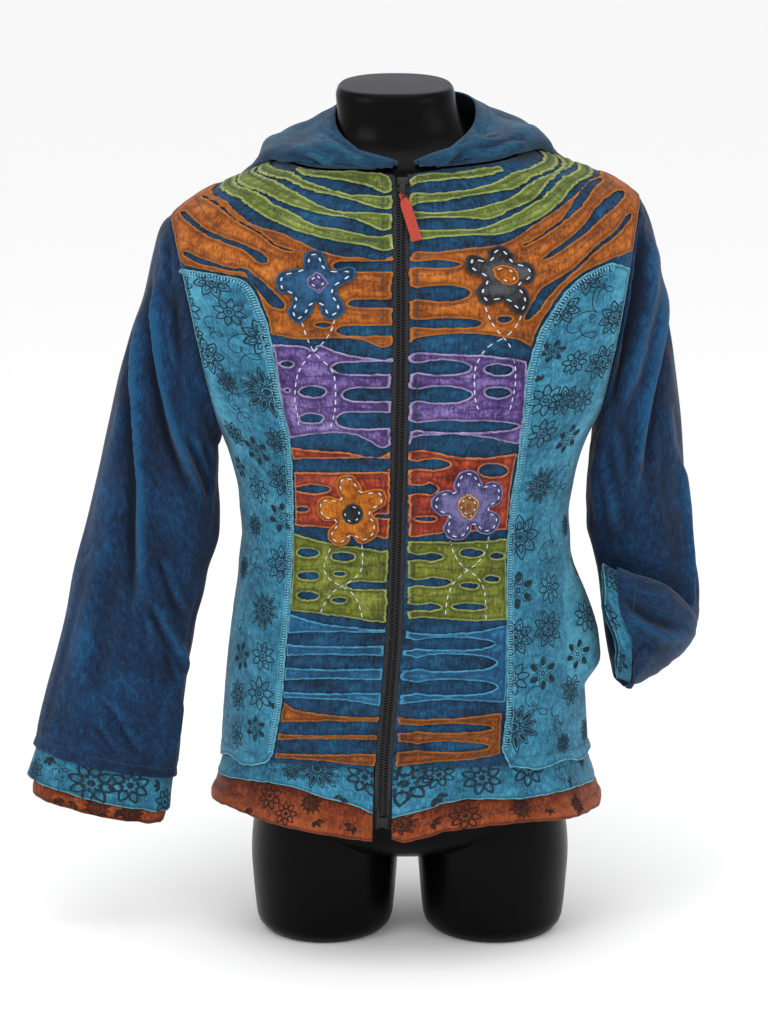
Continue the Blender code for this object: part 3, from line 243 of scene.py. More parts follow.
def turn_at(x, height):
    """The turn where the front is at x."""
    reach = np.minimum(np.abs(x) / read(BODY, 1, height), 1.0)
    turn = np.arcsin(reach ** (ROUNDNESS / 2)) / (math.pi / 2)
    return np.copysign(np.minimum(turn, EDGE), x)


def trace(points):
    """Points of the front view on the flat cut: metres round the body, and height."""
    across, down = np.array(points, float).T
    near, far = np.full(len(across), -0.2), np.zeros(len(across))
    for _ in range(30):
        middle = (near + far) / 2
        place = at_depth(across, down, middle)
        height = level(place)
        reach = np.minimum(np.abs(place[:, 0]) / read(BODY, 1, height), 1.0)
        front = -read(BODY, 2, height) * (1 - reach ** ROUNDNESS) ** (1 / ROUNDNESS)
        near, far = np.where(middle < front, middle, near), np.where(middle < front, far, middle)
    place = at_depth(across, down, near)
    height = level(place)
    return np.stack([turn_at(place[:, 0], height) * STRETCH, height], axis=1)


def zip_x(height):
    """The zip's middle line, which leans to one side low down."""
    place = at_depth(*np.array(ZIP_LINE, float).T, -0.13)
    place = at_depth(*np.array(ZIP_LINE, float).T, -read(BODY, 2, place[:, 2]))
    return read(tuple(zip(place[:, 2], place[:, 0])), 1, height)


def beside_zip(height, aside):
    """The flat cut's place at a distance from the zip's middle line."""
    height = np.asarray(height, float)
    return np.stack([turn_at(zip_x(height) + aside, height) * STRETCH, height], axis=-1)


def drape(flat):
    """The soft waves that all layers of the body share, out of the surface."""
    turn, height = flat[:, 0] / STRETCH, flat[:, 1]
    low = 1 - ease(height, 0.30, 0.46)
    waves = np.sin(turn * 9.5 + 0.6) * 0.5 + np.sin(turn * 17.3 - height * 14 + 2.0) * 0.5
    side = ease(np.abs(np.where(turn > 1, 2 - turn, turn)), 0.35, 0.8)
    waist = np.exp(-((height - 0.415) / 0.05) ** 2) * np.sin(height * 115 + turn * 5)
    return 0.0011 * low * waves * (0.35 + 0.65 * side) + 0.0008 * waist * side


def lay(flat, lift=0.0):
    """Flat cut to surface."""
    return on_body(flat[:, 0] / STRETCH, flat[:, 1], drape(flat) + lift)


def walk(points, step, closed=False):
    """Points a step apart along a line."""
    points = np.asarray(points, float)
    if closed:
        points = np.vstack([points, points[:1]])
    lengths = np.concatenate([[0], np.cumsum(np.linalg.norm(np.diff(points, axis=0), axis=1))])
    count = max(int(round(lengths[-1] / step)), 3 if closed else 1)
    at = np.linspace(0, lengths[-1], count + 1)[:count if closed else count + 1]
    return np.stack([np.interp(at, lengths, points[:, axis]) for axis in range(points.shape[1])],
                    axis=1)


def sideways(line, closed):
    """Unit normals of a flat line."""
    if closed:
        ahead = np.roll(line, -1, axis=0) - np.roll(line, 1, axis=0)
    else:
        ahead = np.gradient(line, axis=0)
    across = np.stack([ahead[:, 1], -ahead[:, 0]], axis=1)
    return across / np.maximum(np.linalg.norm(across, axis=1, keepdims=True), 1e-9)


def inside(points, loops):
    """Which points lie within the first loop and outside the others."""
    kept = None
    for loop in loops:
        odd = np.zeros(len(points), bool)
        for (x0, y0), (x1, y1) in zip(loop, np.roll(loop, -1, axis=0)):
            if y0 != y1:
                crosses = (points[:, 1] < y0) != (points[:, 1] < y1)
                odd ^= crosses & (points[:, 0] < x0 + (points[:, 1] - y0) * (x1 - x0) / (y1 - y0))
        kept = odd if kept is None else kept & ~odd
    return kept


def reach_of(points, lines, most=0.012):
    """Distance from each point to the nearest of some lines."""
    found = np.full(len(points), most)
    for line in lines:
        for start, end in zip(line[:-1], line[1:]):
            run = end - start
            along = np.clip(((points - start) @ run) / max(run @ run, 1e-12), 0, 1)
            away = np.linalg.norm(points - start - along[:, None] * run, axis=1)
            found = np.minimum(found, away)
    return found


def face_outward(mesh):
    """Turn faces that look inward."""
    shape = bmesh.new()
    shape.from_mesh(mesh)
    bmesh.ops.recalc_face_normals(shape, faces=shape.faces)
    shape.to_mesh(mesh)
    shape.free()


def make_mesh(name, verts, faces, material, uv=None, **attributes):
    """A smooth mesh object with its cut as a UV map in metres and its attributes."""
    mesh = bpy.data.meshes.new(name)
    mesh.from_pydata([tuple(v) for v in verts], [], [tuple(int(i) for i in f) for f in faces])
    mesh.validate()
    if uv is not None:
        corners = np.empty(len(mesh.loops), np.int32)
        mesh.loops.foreach_get("vertex_index", corners)
        layer = mesh.uv_layers.new(name="cut")
        layer.data.foreach_set("uv", np.asarray(uv, np.float32)[corners].ravel())
    for key, values in attributes.items():
        layer = mesh.attributes.new(key, "FLOAT", "POINT")
        layer.data.foreach_set("value", np.asarray(values, np.float32))
    mesh.polygons.foreach_set("use_smooth", np.ones(len(mesh.polygons), bool))
    mesh.materials.append(material)
    piece = bpy.data.objects.new(name, mesh)
    bpy.context.scene.collection.objects.link(piece)
    return piece


TOPS = {}                # outer surface and cut of each laid piece, for what is sewn on it


def cloth(name, outline, material, holes=(), seams=(), lift=0.0, wall=0.0010, bead=0.0, pucker=0.0,
          grain=0.0035, seed=0.0, bulge=None, outward=True, weave=(0.020, 0.007)):
    """Cut a piece flat with its slashes, lay it on the body and give it a wall. Raw jersey edges
    curl into a bead, the strips between slashes pucker, and seams press a groove."""
    step = min(grain * 0.6, 0.0021) if bead else grain
    loops = []
    for at, loop in enumerate((outline, *holes)):
        loop = walk(loop, step, True)
        if bead:
            wander = (wobble(loop, (0.0035, 0.0035), seed + at)
                      + 0.9 * wobble(loop, (0.012, 0.012), seed + at + 50))
            loop = loop + sideways(loop, True) * (wander * 0.00075)[:, None]
        loops.append(loop)
    rims = [np.vstack([loop, loop[:1]]) for loop in loops]
    seams = [walk(seam, grain) for seam in seams]

    def rise(flat):
        edge = reach_of(flat, rims)
        curl = bead * np.exp(-((edge - 0.0011) / 0.0010) ** 2)
        curl *= 0.75 + 0.45 * wobble(flat, (0.009, 0.009), seed + 3)
        slack = pucker * (0.55 + 0.9 * wobble(flat, weave, seed + 9)) * ease(edge, 0.0, 0.005)
        groove = 0.0007 * np.exp(-(reach_of(flat, seams) / 0.0013) ** 2) if seams else 0.0
        grown = np.maximum(curl, 0) + np.maximum(slack, 0) - groove * (1 if pucker else 0.6)
        if bulge:
            grown = grown + bulge(flat)
        return np.maximum(grown, 0 if outward else -1) + lift, edge

    low, high = loops[0].min(axis=0), loops[0].max(axis=0)
    rows = np.arange(low[1], high[1], grain * 0.87)
    grid = np.array([(x + (row % 2) * grain / 2, y) for row, y in enumerate(rows)
                     for x in np.arange(low[0], high[0], grain)])
    shift = np.stack([wobble(grid, (0.004, 0.004), 11), wobble(grid, (0.004, 0.004), 23)], axis=1)
    grid = grid + shift * grain * 0.25
    wanted = [(grid, 0.0030 if bead else grain * 0.45, 0.0020)]
    for loop in loops if bead else ():
        for distance in (0.0011, 0.0023):
            for way in (-1, 1):
                wanted.append((loop + sideways(loop, True) * distance * way, distance * 0.8, 0.0))
    for seam in seams:
        wanted += [(seam + sideways(seam, False) * aside, 0.0012, 0.0)
                   for aside in (-0.0014, 0.0, 0.0014)]
    kept = []
    for points, from_edge, from_seam in wanted:
        points = points[inside(points, loops)]
        points = points[reach_of(points, rims) > from_edge]
        if seams and from_seam:
            points = points[reach_of(points, seams) > from_seam]
        kept.append(points)
    flat_points, edges = [], []
    for loop in loops:
        start = len(flat_points)
        flat_points += [Vector(point) for point in loop]
        edges += [(start + at, start + (at + 1) % len(loop)) for at in range(len(loop))]
    flat_points += [Vector(point) for points in kept for point in points]
    verts, _, faces, *_ = geometry.delaunay_2d_cdt(flat_points, edges, [], 0, 1e-7)
    flat = np.array([tuple(v) for v in verts])
    faces = np.array([tuple(f) for f in faces])
    corners = flat[faces]
    faces = faces[inside(corners.mean(axis=1), loops)]
    first = flat[faces[:, 1]] - flat[faces[:, 0]]
    second = flat[faces[:, 2]] - flat[faces[:, 0]]
    turned = first[:, 0] * second[:, 1] - first[:, 1] * second[:, 0]
    faces = faces[np.abs(turned) > 1e-12]
    turned = turned[np.abs(turned) > 1e-12]
    faces = np.where(turned[:, None] < 0, faces[:, ::-1], faces)
    # a slash open to the edge leaves its own corner points, which the outline doesn't keep
    used = np.unique(faces)
    number = np.full(len(flat), -1)
    number[used] = np.arange(len(used))
    flat, faces = flat[used], number[faces]
    raised, edge = rise(flat)
    # the height proud of the cloth also sets its colour: stonewash wear on puckers and curled beads, painted
    # highlight on the ridges of folds and bulges, painted shade in their troughs
    piece = make_mesh(name + "_cloth", lay(flat, raised), faces, material, flat, edge=edge,
                      worn=np.minimum((raised - lift) / PALEST_RISE, 1.2))
    shell = piece.modifiers.new("wall", "SOLIDIFY")
    shell.thickness = wall
    shell.offset = 1 if outward else -1
    TOPS[name] = (lambda flat: rise(flat)[0] + (wall if outward else 0.0), loops)
    # the cut is stated by the cloth's own surface, curled edges and puckers opened out
    laid = np.array([tuple(vert.co) for vert in piece.data.vertices])[faces]
    crossed = np.cross(laid[:, 1] - laid[:, 0], laid[:, 2] - laid[:, 0])
    area = float(np.linalg.norm(crossed, axis=1).sum() / 2)
    wider = math.sqrt(area / float(np.abs(turned).sum() / 2))
    piece["cut_area"] = area
    piece["cut_size"] = [float(v) * wider for v in (loops[0].max(axis=0) - loops[0].min(axis=0))]
    piece["cut_round"] = float(np.linalg.norm(np.diff(rims[0], axis=0), axis=1).sum()) * wider
    return piece


def dress(piece, node, strip=False, body="jacket"):
    """Fix a sheet of cloth on its body, in place of its solid."""
    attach(piece, body)
    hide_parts(node)
    area = piece["cut_area"]
    width, length = piece["cut_size"]
    if strip:            # long and bent: a band of the same area and rim
        half = piece["cut_round"] / 2
        width = (half - math.sqrt(max(half * half - 4 * area, 0))) / 2
        length = half - width
    width, length = max(width, 0.0102), max(length, 0.0102)


WALE = 0.0013


def jersey(name, deep, mid, pale, rim=None, paling=0.30):
    """Cotton single jersey: fine upright wales, a soft matt nap, and the clouded, worn dye of
    stone washing, pale on the curled raw edges. Raised places are drawn paler and sunk ones darker:
    stonewash wear on puckers and beads, painted highlight on fold ridges, painted shade in troughs."""
    material, tree, shader = material_of(name)
    cut = add(tree, "ShaderNodeUVMap", uv_map="cut").outputs["UV"]
    # clouds 40 mm across, mottling of 7 mm and grit of 2 mm
    cloud = add(tree, "ShaderNodeTexNoise", {"Vector": cut, "Scale": 25.0, "Detail": 3.0}
                ).outputs["Fac"]
    mottle = add(tree, "ShaderNodeTexNoise", {"Vector": cut, "Scale": 140.0, "Detail": 4.0,
                                              "Roughness": 0.65}).outputs["Fac"]
    grit = add(tree, "ShaderNodeTexNoise", {"Vector": cut, "Scale": 520.0, "Detail": 2.0}
               ).outputs["Fac"]
    # wales are 0.7 mm apart on the real cloth; they are drawn wider so that they show
    upright = add(tree, "ShaderNodeMapping", {
        "Vector": cut, "Scale": (1 / WALE, 0.14 / WALE, 1.0)}).outputs["Vector"]
    wales = add(tree, "ShaderNodeTexNoise", {"Vector": upright, "Scale": 1.0, "Detail": 2.0}
                ).outputs["Fac"]
    # this attribute is how far a place stands proud of its cloth: stonewash wear on raised puckers and
    # beads, and painted highlight on fold ridges with painted shade in fold troughs
    worn = add(tree, "ShaderNodeAttribute", attribute_name="worn").outputs["Fac"]
    total = None
    for value, share in ((cloud, 0.9), (mottle, 1.1), (grit, 0.55), (wales, 0.75), (worn, paling)):
        part = add(tree, "ShaderNodeMath", {0: value, 1: share}, operation="MULTIPLY").outputs[0]
        total = part if total is None else add(tree, "ShaderNodeMath", {0: total, 1: part},
                                               operation="ADD").outputs[0]
    ramp = add(tree, "ShaderNodeValToRGB", {"Fac": add(
        tree, "ShaderNodeMapRange", {"Value": total, "From Min": 1.25, "From Max": 2.25}).outputs["Result"]})
    ramp.color_ramp.elements[0].position = 0.12
    ramp.color_ramp.elements[0].color = linear(deep)
    ramp.color_ramp.elements[1].position = 0.92
    ramp.color_ramp.elements[1].color = linear(pale)
    ramp.color_ramp.elements.new(0.48).color = linear(mid)
    colour = ramp.outputs["Color"]
    if rim:
        edge = add(tree, "ShaderNodeAttribute", attribute_name="edge").outputs["Fac"]
        # the curled rim is 2 mm wide and pale in patches; the cloth beside it lies in its shade
        shifted = add(tree, "ShaderNodeMath", {0: mottle, 1: 0.0016, 2: edge},
                      operation="MULTIPLY_ADD").outputs[0]
        hollow = add(tree, "ShaderNodeMapRange", {
            "Value": shifted, "From Min": 0.0022, "From Max": 0.0052, "To Min": 0.72, "To Max": 0.0})
        colour = add(tree, "ShaderNodeMix", {0: hollow.outputs["Result"], 6: colour, 7: linear(deep)},
                     data_type="RGBA").outputs[2]
        curled = add(tree, "ShaderNodeMapRange", {
            "Value": shifted, "From Min": 0.0015, "From Max": 0.0023, "To Min": 1.25, "To Max": 0.0})
        patchy = add(tree, "ShaderNodeMapRange", {
            "Value": mottle, "From Min": 0.30, "From Max": 0.62, "To Min": 0.10, "To Max": 0.75})
        curled = add(tree, "ShaderNodeMath", {0: curled.outputs["Result"], 1: patchy.outputs["Result"]},
                     operation="MULTIPLY", use_clamp=True).outputs[0]
        colour = add(tree, "ShaderNodeMix", {0: curled, 6: colour, 7: linear(rim)},
                     data_type="RGBA").outputs[2]
    # worn cotton drinks the light: its shades lie deeper and further apart than on a dye card
    colour = add(tree, "ShaderNodeGamma", {"Color": colour, "Gamma": 1.22}).outputs["Color"]
    tree.links.new(colour, shader.inputs["Base Color"])
    shader.inputs["Roughness"].default_value = 0.92
    shader.inputs["Specular IOR Level"].default_value = 0.25
    shader.inputs["Sheen Weight"].default_value = 0.10
    shader.inputs["Sheen Roughness"].default_value = 0.5
    grain = add(tree, "ShaderNodeMath", {0: wales, 1: grit}, operation="ADD").outputs[0]
    rough = add(tree, "ShaderNodeBump", {"Height": grain, "Strength": 0.55, "Distance": 0.0005}
                ).outputs["Normal"]
    soft = add(tree, "ShaderNodeBump", {"Height": mottle, "Strength": 0.5, "Distance": 0.0012,
                                        "Normal": rough}).outputs["Normal"]
    tree.links.new(soft, shader.inputs["Normal"])
    return material


teal_base = jersey("teal_jersey_under_patches", "#0D2A3E", "#1D4C6B", "#33708F")
teal = jersey("teal_jersey", "#08223A", "#103A5C", "#1E5A7E")


def armhole_turn(side, height):
    """How far round the front the armhole's slanted plane meets the body."""
    height = np.asarray(height, float)
    low, high = ARMPIT[side], SHOULDER_TIP
    start, end = read(BODY, 1, low), read(BODY, 1, high)
    plane = start + (end - start) * (height - low) / (high - low)
    reach = np.minimum(plane / read(BODY, 1, height), 1.0)
    return np.arcsin(reach ** (ROUNDNESS / 2)) / (math.pi / 2)


def armhole_front(side, start=SHOULDER_TIP, end=None, inset=0.0):
    """The front half of the armhole from height start down to end, on the flat cut."""
    angles = np.linspace(0, math.pi, 40)
    heights = (SHOULDER_TIP + ARMPIT[side]) / 2 + (SHOULDER_TIP - ARMPIT[side]) / 2 * np.cos(angles)
    heights = heights[(heights <= start) & (heights >= (ARMPIT[side] if end is None else end))]
    turns = np.minimum(armhole_turn(side, heights) - inset, 1 - SEAM_TURN)
    return np.stack([side * turns * STRETCH, heights], axis=1)


def hem_height(turn):
    """The hem's height, which is more at the front than at the sides."""
    return HEM_SIDE + (HEM_FRONT - HEM_SIDE) * np.maximum(np.cos(np.asarray(turn) * math.pi / 2), 0)


def neck_height(turn):
    """The neck seam's height."""
    facing = np.cos(np.asarray(turn, float) * math.pi / 2)
    end = np.where(facing > 0, NECK_FRONT, NECK_BACK)
    return NECK_SIDE + (end - NECK_SIDE) * np.abs(facing) ** 1.5


def row_at(turns, height_of):
    """A line of the flat cut at a height that depends on the turn."""
    turns = np.asarray(turns, float)
    return np.stack([turns * STRETCH, height_of(turns)], axis=1)


def placket(side):
    """The seam that runs beside the zip through all layers."""
    heights = np.linspace(0.205, 0.775, 120)
    return beside_zip(heights, side * (0.0166 + 0.0012 * side * np.cos(heights * 4 - 0.3)))


seams = {-1: placket(-1), 1: placket(1)}
for name, side in (("front_base_right", -1), ("front_base_left", 1)):
    opening = beside_zip(np.linspace(0.206, 0.776, 60), side * ZIP_HALF)
    outline = np.vstack([
        opening,
        row_at(side * np.linspace(0.13, 0.95, 10), neck_height),
        [(side * (1 - SEAM_TURN) * STRETCH, NECK_SIDE)],
        armhole_front(side),
        [(side * (1 - SEAM_TURN) * STRETCH, HEM_SIDE)],
        row_at(side * np.linspace(0.9, 0.1, 12), hem_height)])
    piece = cloth(name, outline, teal_base, seams=[seams[side]], wall=BASE_WALL, grain=0.0055,
                  outward=False)
    dress(piece, name)

low, high = (1 + SEAM_TURN) * STRETCH, (3 - SEAM_TURN) * STRETCH
armholes = {}
for side in (1, -1):
    armholes[side] = armhole_front(side)
    armholes[side][:, 0] = 2 * STRETCH - armholes[side][:, 0]
outline = np.vstack([[(low, HEM_SIDE)], armholes[1][::-1], [(low, NECK_SIDE)],
                     row_at(np.linspace(1.1, 2.9, 30), neck_height), [(high, NECK_SIDE)],
                     armholes[-1], [(high, HEM_SIDE)]])
BACK_FOLDS = (
    # where each begins and ends on the flat cut, its height and its width
    ((0.575, 0.575), (0.500, 0.440), 0.0034, 0.0105), ((0.590, 0.520), (0.540, 0.400), 0.0028, 0.0080),
    ((0.270, 0.590), (0.345, 0.450), 0.0032, 0.0100), ((0.250, 0.500), (0.300, 0.370), 0.0028, 0.0085),
    ((0.470, 0.380), (0.455, 0.240), 0.0024, 0.0120), ((0.365, 0.400), (0.385, 0.230), 0.0026, 0.0130),
    ((0.560, 0.330), (0.575, 0.215), 0.0022, 0.0100), ((0.290, 0.300), (0.270, 0.215), 0.0020, 0.0090),
)


def back_folds(flat):
    """The back's slack: soft folds from the armholes to the waist and over the hips."""
    total = np.zeros(len(flat))
    for begin, end, height, width in BACK_FOLDS:
        begin, run = np.array(begin), np.array(end) - begin
        share = (flat - begin) @ run / (run @ run)
        across = (flat - begin) @ np.array((-run[1], run[0])) / math.sqrt(run @ run)
        across = across + 0.010 * np.sin(share * 3.4)
        reach = np.exp(-((share - 0.5) / 0.42) ** 4)
        trough = 0.55 * np.exp(-((across - 1.7 * width) / width) ** 2)
        total += height * reach * (np.exp(-(across / width) ** 2) - trough)
    return total


piece = cloth("back", outline, teal, wall=BASE_WALL, grain=0.0042, outward=False, bulge=back_folds)
dress(piece, "back")


# Yoke strips
# Eight curved strips of green jersey run from the zip to the shoulders. They are cut raw, so their
# edges curl and fray, and each is sewn down by one thin dark seam along its middle.
OVERLAY = 0.0006         # how far a patch lies over the base panel
SEAM_STITCH = (0.0021, 0.0007, 0.00032, 0.0003)      # length, gap, half width, height
STRIPS = {
    # where it ends on the shoulder seam, then its upper edge, its lower edge and its seam
    "green_strip_right_1": (None, """
        392,184 388,176 380,174 359,172 336,172 313,171 297,169;
        304,176 328,179 350,182 370,187 382,193 392,191;
        391,188 380,184 359,178 336,176 313,174"""),
    "green_strip_right_2": ((273, 262), """
        392,196 382,197 368,196 350,195 325,188 308,182 292,173;
        285,180 305,189 328,195 350,200 370,206 382,209 392,209;
        391,202 368,202 340,195 315,188 290,178"""),
    "green_strip_right_3": ((259, 245), """
        392,215 382,214 364,213 344,213 325,208 307,199 292,191 272,180;
        260,192 282,202 302,209 325,215 351,218 370,226 382,231 392,230;
        391,222 368,220 344,216 318,208 296,199 272,187 256,178"""),
    "green_strip_right_4": ((242, 228), """
        392,235 382,237 367,236 344,231 321,227 307,222 292,213 272,203 255,192;
        238,198 253,209 275,222 298,231 321,238 344,242 367,246 382,251 392,249;
        391,243 367,241 344,237 314,229 290,219 264,206 244,193"""),
    "green_strip_left_1": (None, """
        410,181 417,175 435,174 459,173 481,169 499,167;
        503,172 481,177 459,179 435,181 417,184 410,189;
        411,185 435,178 459,176 481,173 498,169"""),
    "green_strip_left_2": ((534, 548), """
        410,194 417,193 435,194 465,191 484,187 499,181 514,173;
        534,177 519,187 499,192 475,195 451,200 419,203 410,208;
        411,200 440,197 468,195 492,189 512,180 526,172"""),
    "green_strip_left_3": ((551, 570), """
        410,211 417,212 435,213 467,211 491,205 507,200 522,190 536,180;
        560,172 550,182 534,199 526,204 510,210 497,217 484,220 464,218 417,219 410,222;
        411,216 440,216 470,215 496,210 518,202 536,190 550,176"""),
    "green_strip_left_4": ((573, 588), """
        410,229 417,230 435,231 456,230 481,229 494,224 513,216 532,205 547,194 562,178;
        577,183 566,196 554,208 538,219 519,228 497,235 459,236 417,240 410,242;
        411,236 440,234 476,233 502,226 524,217 546,203 566,184"""),
}


def lines_of(text):
    """Lines parted by semicolons, each one points such as across,down parted by spaces."""
    return [tuple(tuple(float(value) for value in point.split(",")) for point in line.split())
            for line in text.split(";")]


def shoulder(across):
    """The point of the shoulder seam that the front view shows at across."""
    x = at_depth(across, 190, 0)[0]
    heights = np.linspace(0.80, SHOULDER_TIP, 400)
    return (math.copysign(EDGE, x) * STRETCH, np.interp(abs(x), read(BODY, 1, heights), heights))


def beside(outline, side, aside=ZIP_HALF + 0.0002):
    """Keep an outline on its own side of the zip."""
    kept = np.array(outline, float)
    nearest = beside_zip(kept[:, 1], side * aside)[:, 0]
    kept[:, 0] = side * np.maximum(side * kept[:, 0], side * nearest)
    return kept


def bent(before, start, end, after, part):
    """A place between two points on a smooth curve through four."""
    return 0.5 * (2 * start + (end - before) * part
                  + (2 * before - 5 * start + 4 * end - after) * part ** 2
                  + (3 * start - before - 3 * end + after) * part ** 3)


def rounded(points, closed=False):
    """A line bent smoothly through its points."""
    points = np.asarray(points, float)
    if closed:
        points = np.vstack([points[-1:], points, points[:2]])
    else:
        points = np.vstack([2 * points[:1] - points[1:2], points, 2 * points[-1:] - points[-2:-1]])
    parts = np.linspace(0, 1, 6)[:-1, None]
    found = [bent(*four, parts) for four in zip(points, points[1:], points[2:], points[3:])]
    found = np.vstack(found + [points[-2:-1]])
    return found[:-1] if closed else found


def ground(names):
    """The highest outer surface among some pieces, and the base panel's where none of them is."""

    def top(flat):
        best = np.zeros(len(flat))
        for name in names:
            reach, loops = TOPS[name]
            there = inside(flat, loops)
            if there.any():
                best[there] = np.maximum(best[there], reach(flat[there]))
        return best

    return top


def threads(lines, top, length, gap, half, rise, place=lay, seed=0.0, within=None):
    """Stitches along flat lines: each one is a little ridge, sunk in the cloth at both ends."""
    starts, ends = [], []
    for line in lines:
        steps = walk(line, (length + gap) / 4)
        first = np.arange(0, len(steps) - 4, 4)
        share = length / (length + gap)
        after = first + 4 * share
        whole = np.floor(after).astype(int)
        part = (after - whole)[:, None]
        starts.append(steps[first])
        ends.append(steps[whole] * (1 - part) + steps[np.minimum(whole + 1, len(steps) - 1)] * part)
    starts, ends = np.vstack(starts), np.vstack(ends)
    if within is not None:
        keep = inside(starts, within) & inside(ends, within)
        starts, ends = starts[keep], ends[keep]
    run = ends - starts
    aside = np.stack([run[:, 1], -run[:, 0]], axis=1) / np.linalg.norm(run, axis=1, keepdims=True)
    sway = wobble(starts, (0.004, 0.004), seed + 5)[:, None] * 0.12
    rings, heights = [], []
    for along, width, tall in ((0.0, 0.4, -0.25), (0.22, 1.0, 0.85),
                               (0.78, 1.0, 0.85), (1.0, 0.4, -0.25)):
        middle = starts + run * along + aside * sway * half * (1 - 2 * along)
        surface = top(middle)
        for across, up in ((-1, 0.0), (0, 1.0), (1, 0.0), (0, -0.5)):
            rings.append(middle + aside * across * width * half)
            sunk = 0.0 if up > 0 else 0.75 if across == 0 else 0.35
            heights.append(surface + rise * (tall - sunk))
    verts = place(np.stack(rings, axis=1).reshape(-1, 2), np.stack(heights, axis=1).ravel())
    pattern = [(ring * 4 + at, ring * 4 + (at + 1) % 4, ring * 4 + 4 + (at + 1) % 4, ring * 4 + 4 + at)
               for ring in range(3) for at in range(4)] + [(3, 2, 1, 0), (12, 13, 14, 15)]
    faces = (np.arange(len(starts)) * 16)[:, None, None] + np.array(pattern)[None]
    return verts, faces.reshape(-1, 4)


def sewing(name, groups, material):
    """Join several runs of stitches into one piece."""
    verts, faces, start = [], [], 0
    for points, quads in groups:
        verts.append(points)
        faces.append(quads + start)
        start += len(points)
    piece = make_mesh(name, np.vstack(verts), np.vstack(faces), material)
    face_outward(piece.data)
    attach(piece, "jacket")


def thread_material(name, colour, pale):
    """Spun sewing thread: matt, with a slight change of shade from stitch to stitch."""
    material, tree, shader = material_of(name)
    place = add(tree, "ShaderNodeTexCoord").outputs["Object"]
    shade = add(tree, "ShaderNodeTexNoise", {"Vector": place, "Scale": 300.0}).outputs["Fac"]
    mixed = add(tree, "ShaderNodeMix", {0: shade, 6: linear(colour), 7: linear(pale)},
                data_type="RGBA").outputs[2]
    tree.links.new(mixed, shader.inputs["Base Color"])
    shader.inputs["Roughness"].default_value = 0.75
    twist = add(tree, "ShaderNodeTexWave", {"Vector": place, "Scale": 700.0, "Distortion": 1.0}
                ).outputs["Fac"]
    tree.links.new(add(tree, "ShaderNodeBump", {"Height": twist, "Strength": 0.4, "Distance": 0.0002}
                       ).outputs["Normal"], shader.inputs["Normal"])
    return material


green = jersey("green_jersey", "#475427", "#77853F", "#A0A966", rim="#AEB676", paling=0.42)
navy_thread = thread_material("navy_thread", "#1C2530", "#37454F")
runs = []
for name, (ends, text) in STRIPS.items():
    side = 1 if "left" in name else -1
    upper, lower, seam = lines_of(text)
    outline = list(trace(rounded(upper)))
    if ends:
        outline += [shoulder(across) for across in ends]
    outline += list(trace(rounded(lower)))
    seam = trace(rounded(seam))
    if ends:
        seam = np.vstack([seam, shoulder((ends[0] + ends[1]) / 2)])
    piece = cloth(name, beside(outline, side), green, seams=[seam, seams[side]], lift=OVERLAY,
                  bead=0.0011, pucker=0.0011, grain=0.0030, seed=len(runs) * 7.0, weave=(0.016, 0.006))
    dress(piece, name, strip=True)
    runs.append(threads([seam], TOPS[name][0], *SEAM_STITCH))
sewing("yoke_strip_stitches", runs, navy_thread)


# Slashed yokes
# Orange jersey over each shoulder, from the zip to the armhole. It is slashed through along its
# curves, and the raw edges of the slashes curl back. Thin dark seams run between them.
YOKES = {
    # edges: top, armhole side and bottom; slits with their widths; lenses as left, right, top, bottom
    "orange_yoke_right": {
        "side": -1, "shoulder": 220,
        "edges": """
            392,257 382,261 367,259 344,257 325,253 305,245 282,234 258,227 240,216 227,202;
            186,265 198,268 217,272 233,275 246,277 252,283 258,292 264,305 270,324 272,334;
            298,339 325,338 351,338 368,342 382,348 392,345""",
        "slits": """
            182,212,5 194,223,6 206,232,5 221,239,5 240,246,5 252,252,7 261,258,10 268,262,6;
            184,252,5 198,260,6 214,265,5 233,270,4 246,271,5 255,280,7 266,292,11 276,302,12
            285,308,7;
            202,196,3 221,207,2.6 236,220,2.2 259,233,2.2 276,246,2.6 295,252,2.6""",
        "lenses": """
            341,400,261,272 354,400,299,308 315,332,322,328 345,400,325,336""",
        "seams": """
            215,190 228,203 246,219 266,232 286,243 306,251 323,255;
            196,198 210,220 232,236 262,249 284,260 300,268;
            168,232 190,243 214,257 242,262 256,272 270,285 290,294;
            356,280 374,282 391,283;
            345,313 368,316 391,318;
            275,334 300,334 325,333 352,334 370,339""",
    },
    "orange_yoke_left": {
        "side": 1, "shoulder": 598,
        "edges": """
            409,254 417,252 435,253 464,250 489,247 507,243 527,230 546,218 562,206 577,194 588,182;
            609,259 586,270 574,278 564,287 553,302 543,317 535,333 531,346;
            516,339 491,335 465,333 435,335 417,338 409,343""",
        "slits": """
            602,180,3 591,186,8 583,196,9 574,208,8 562,221,3.5 546,233,3 533,241,2.4 522,246,1.6;
            623,192,8 609,204,13 597,215,11 588,226,8 578,235,7 562,247,5 549,256,4 541,261,2;
            630,214,6 615,233,5 594,250,4 578,266,4 562,279,5 546,291,10 535,307,10 525,320,5""",
        "lenses": """
            392,460,260,269 392,471,285,302 392,482,318,329 497,511,316,323""",
        "seams": """
            594,176 580,189 562,207 540,223 516,239 498,246;
            612,182 596,197 580,215 560,232 540,246 520,257;
            630,206 606,226 586,242 568,258 548,270 530,277 512,283;
            411,276 440,275 466,270;
            411,311 440,307 470,302 498,300;
            505,332 524,334""",
    },
}


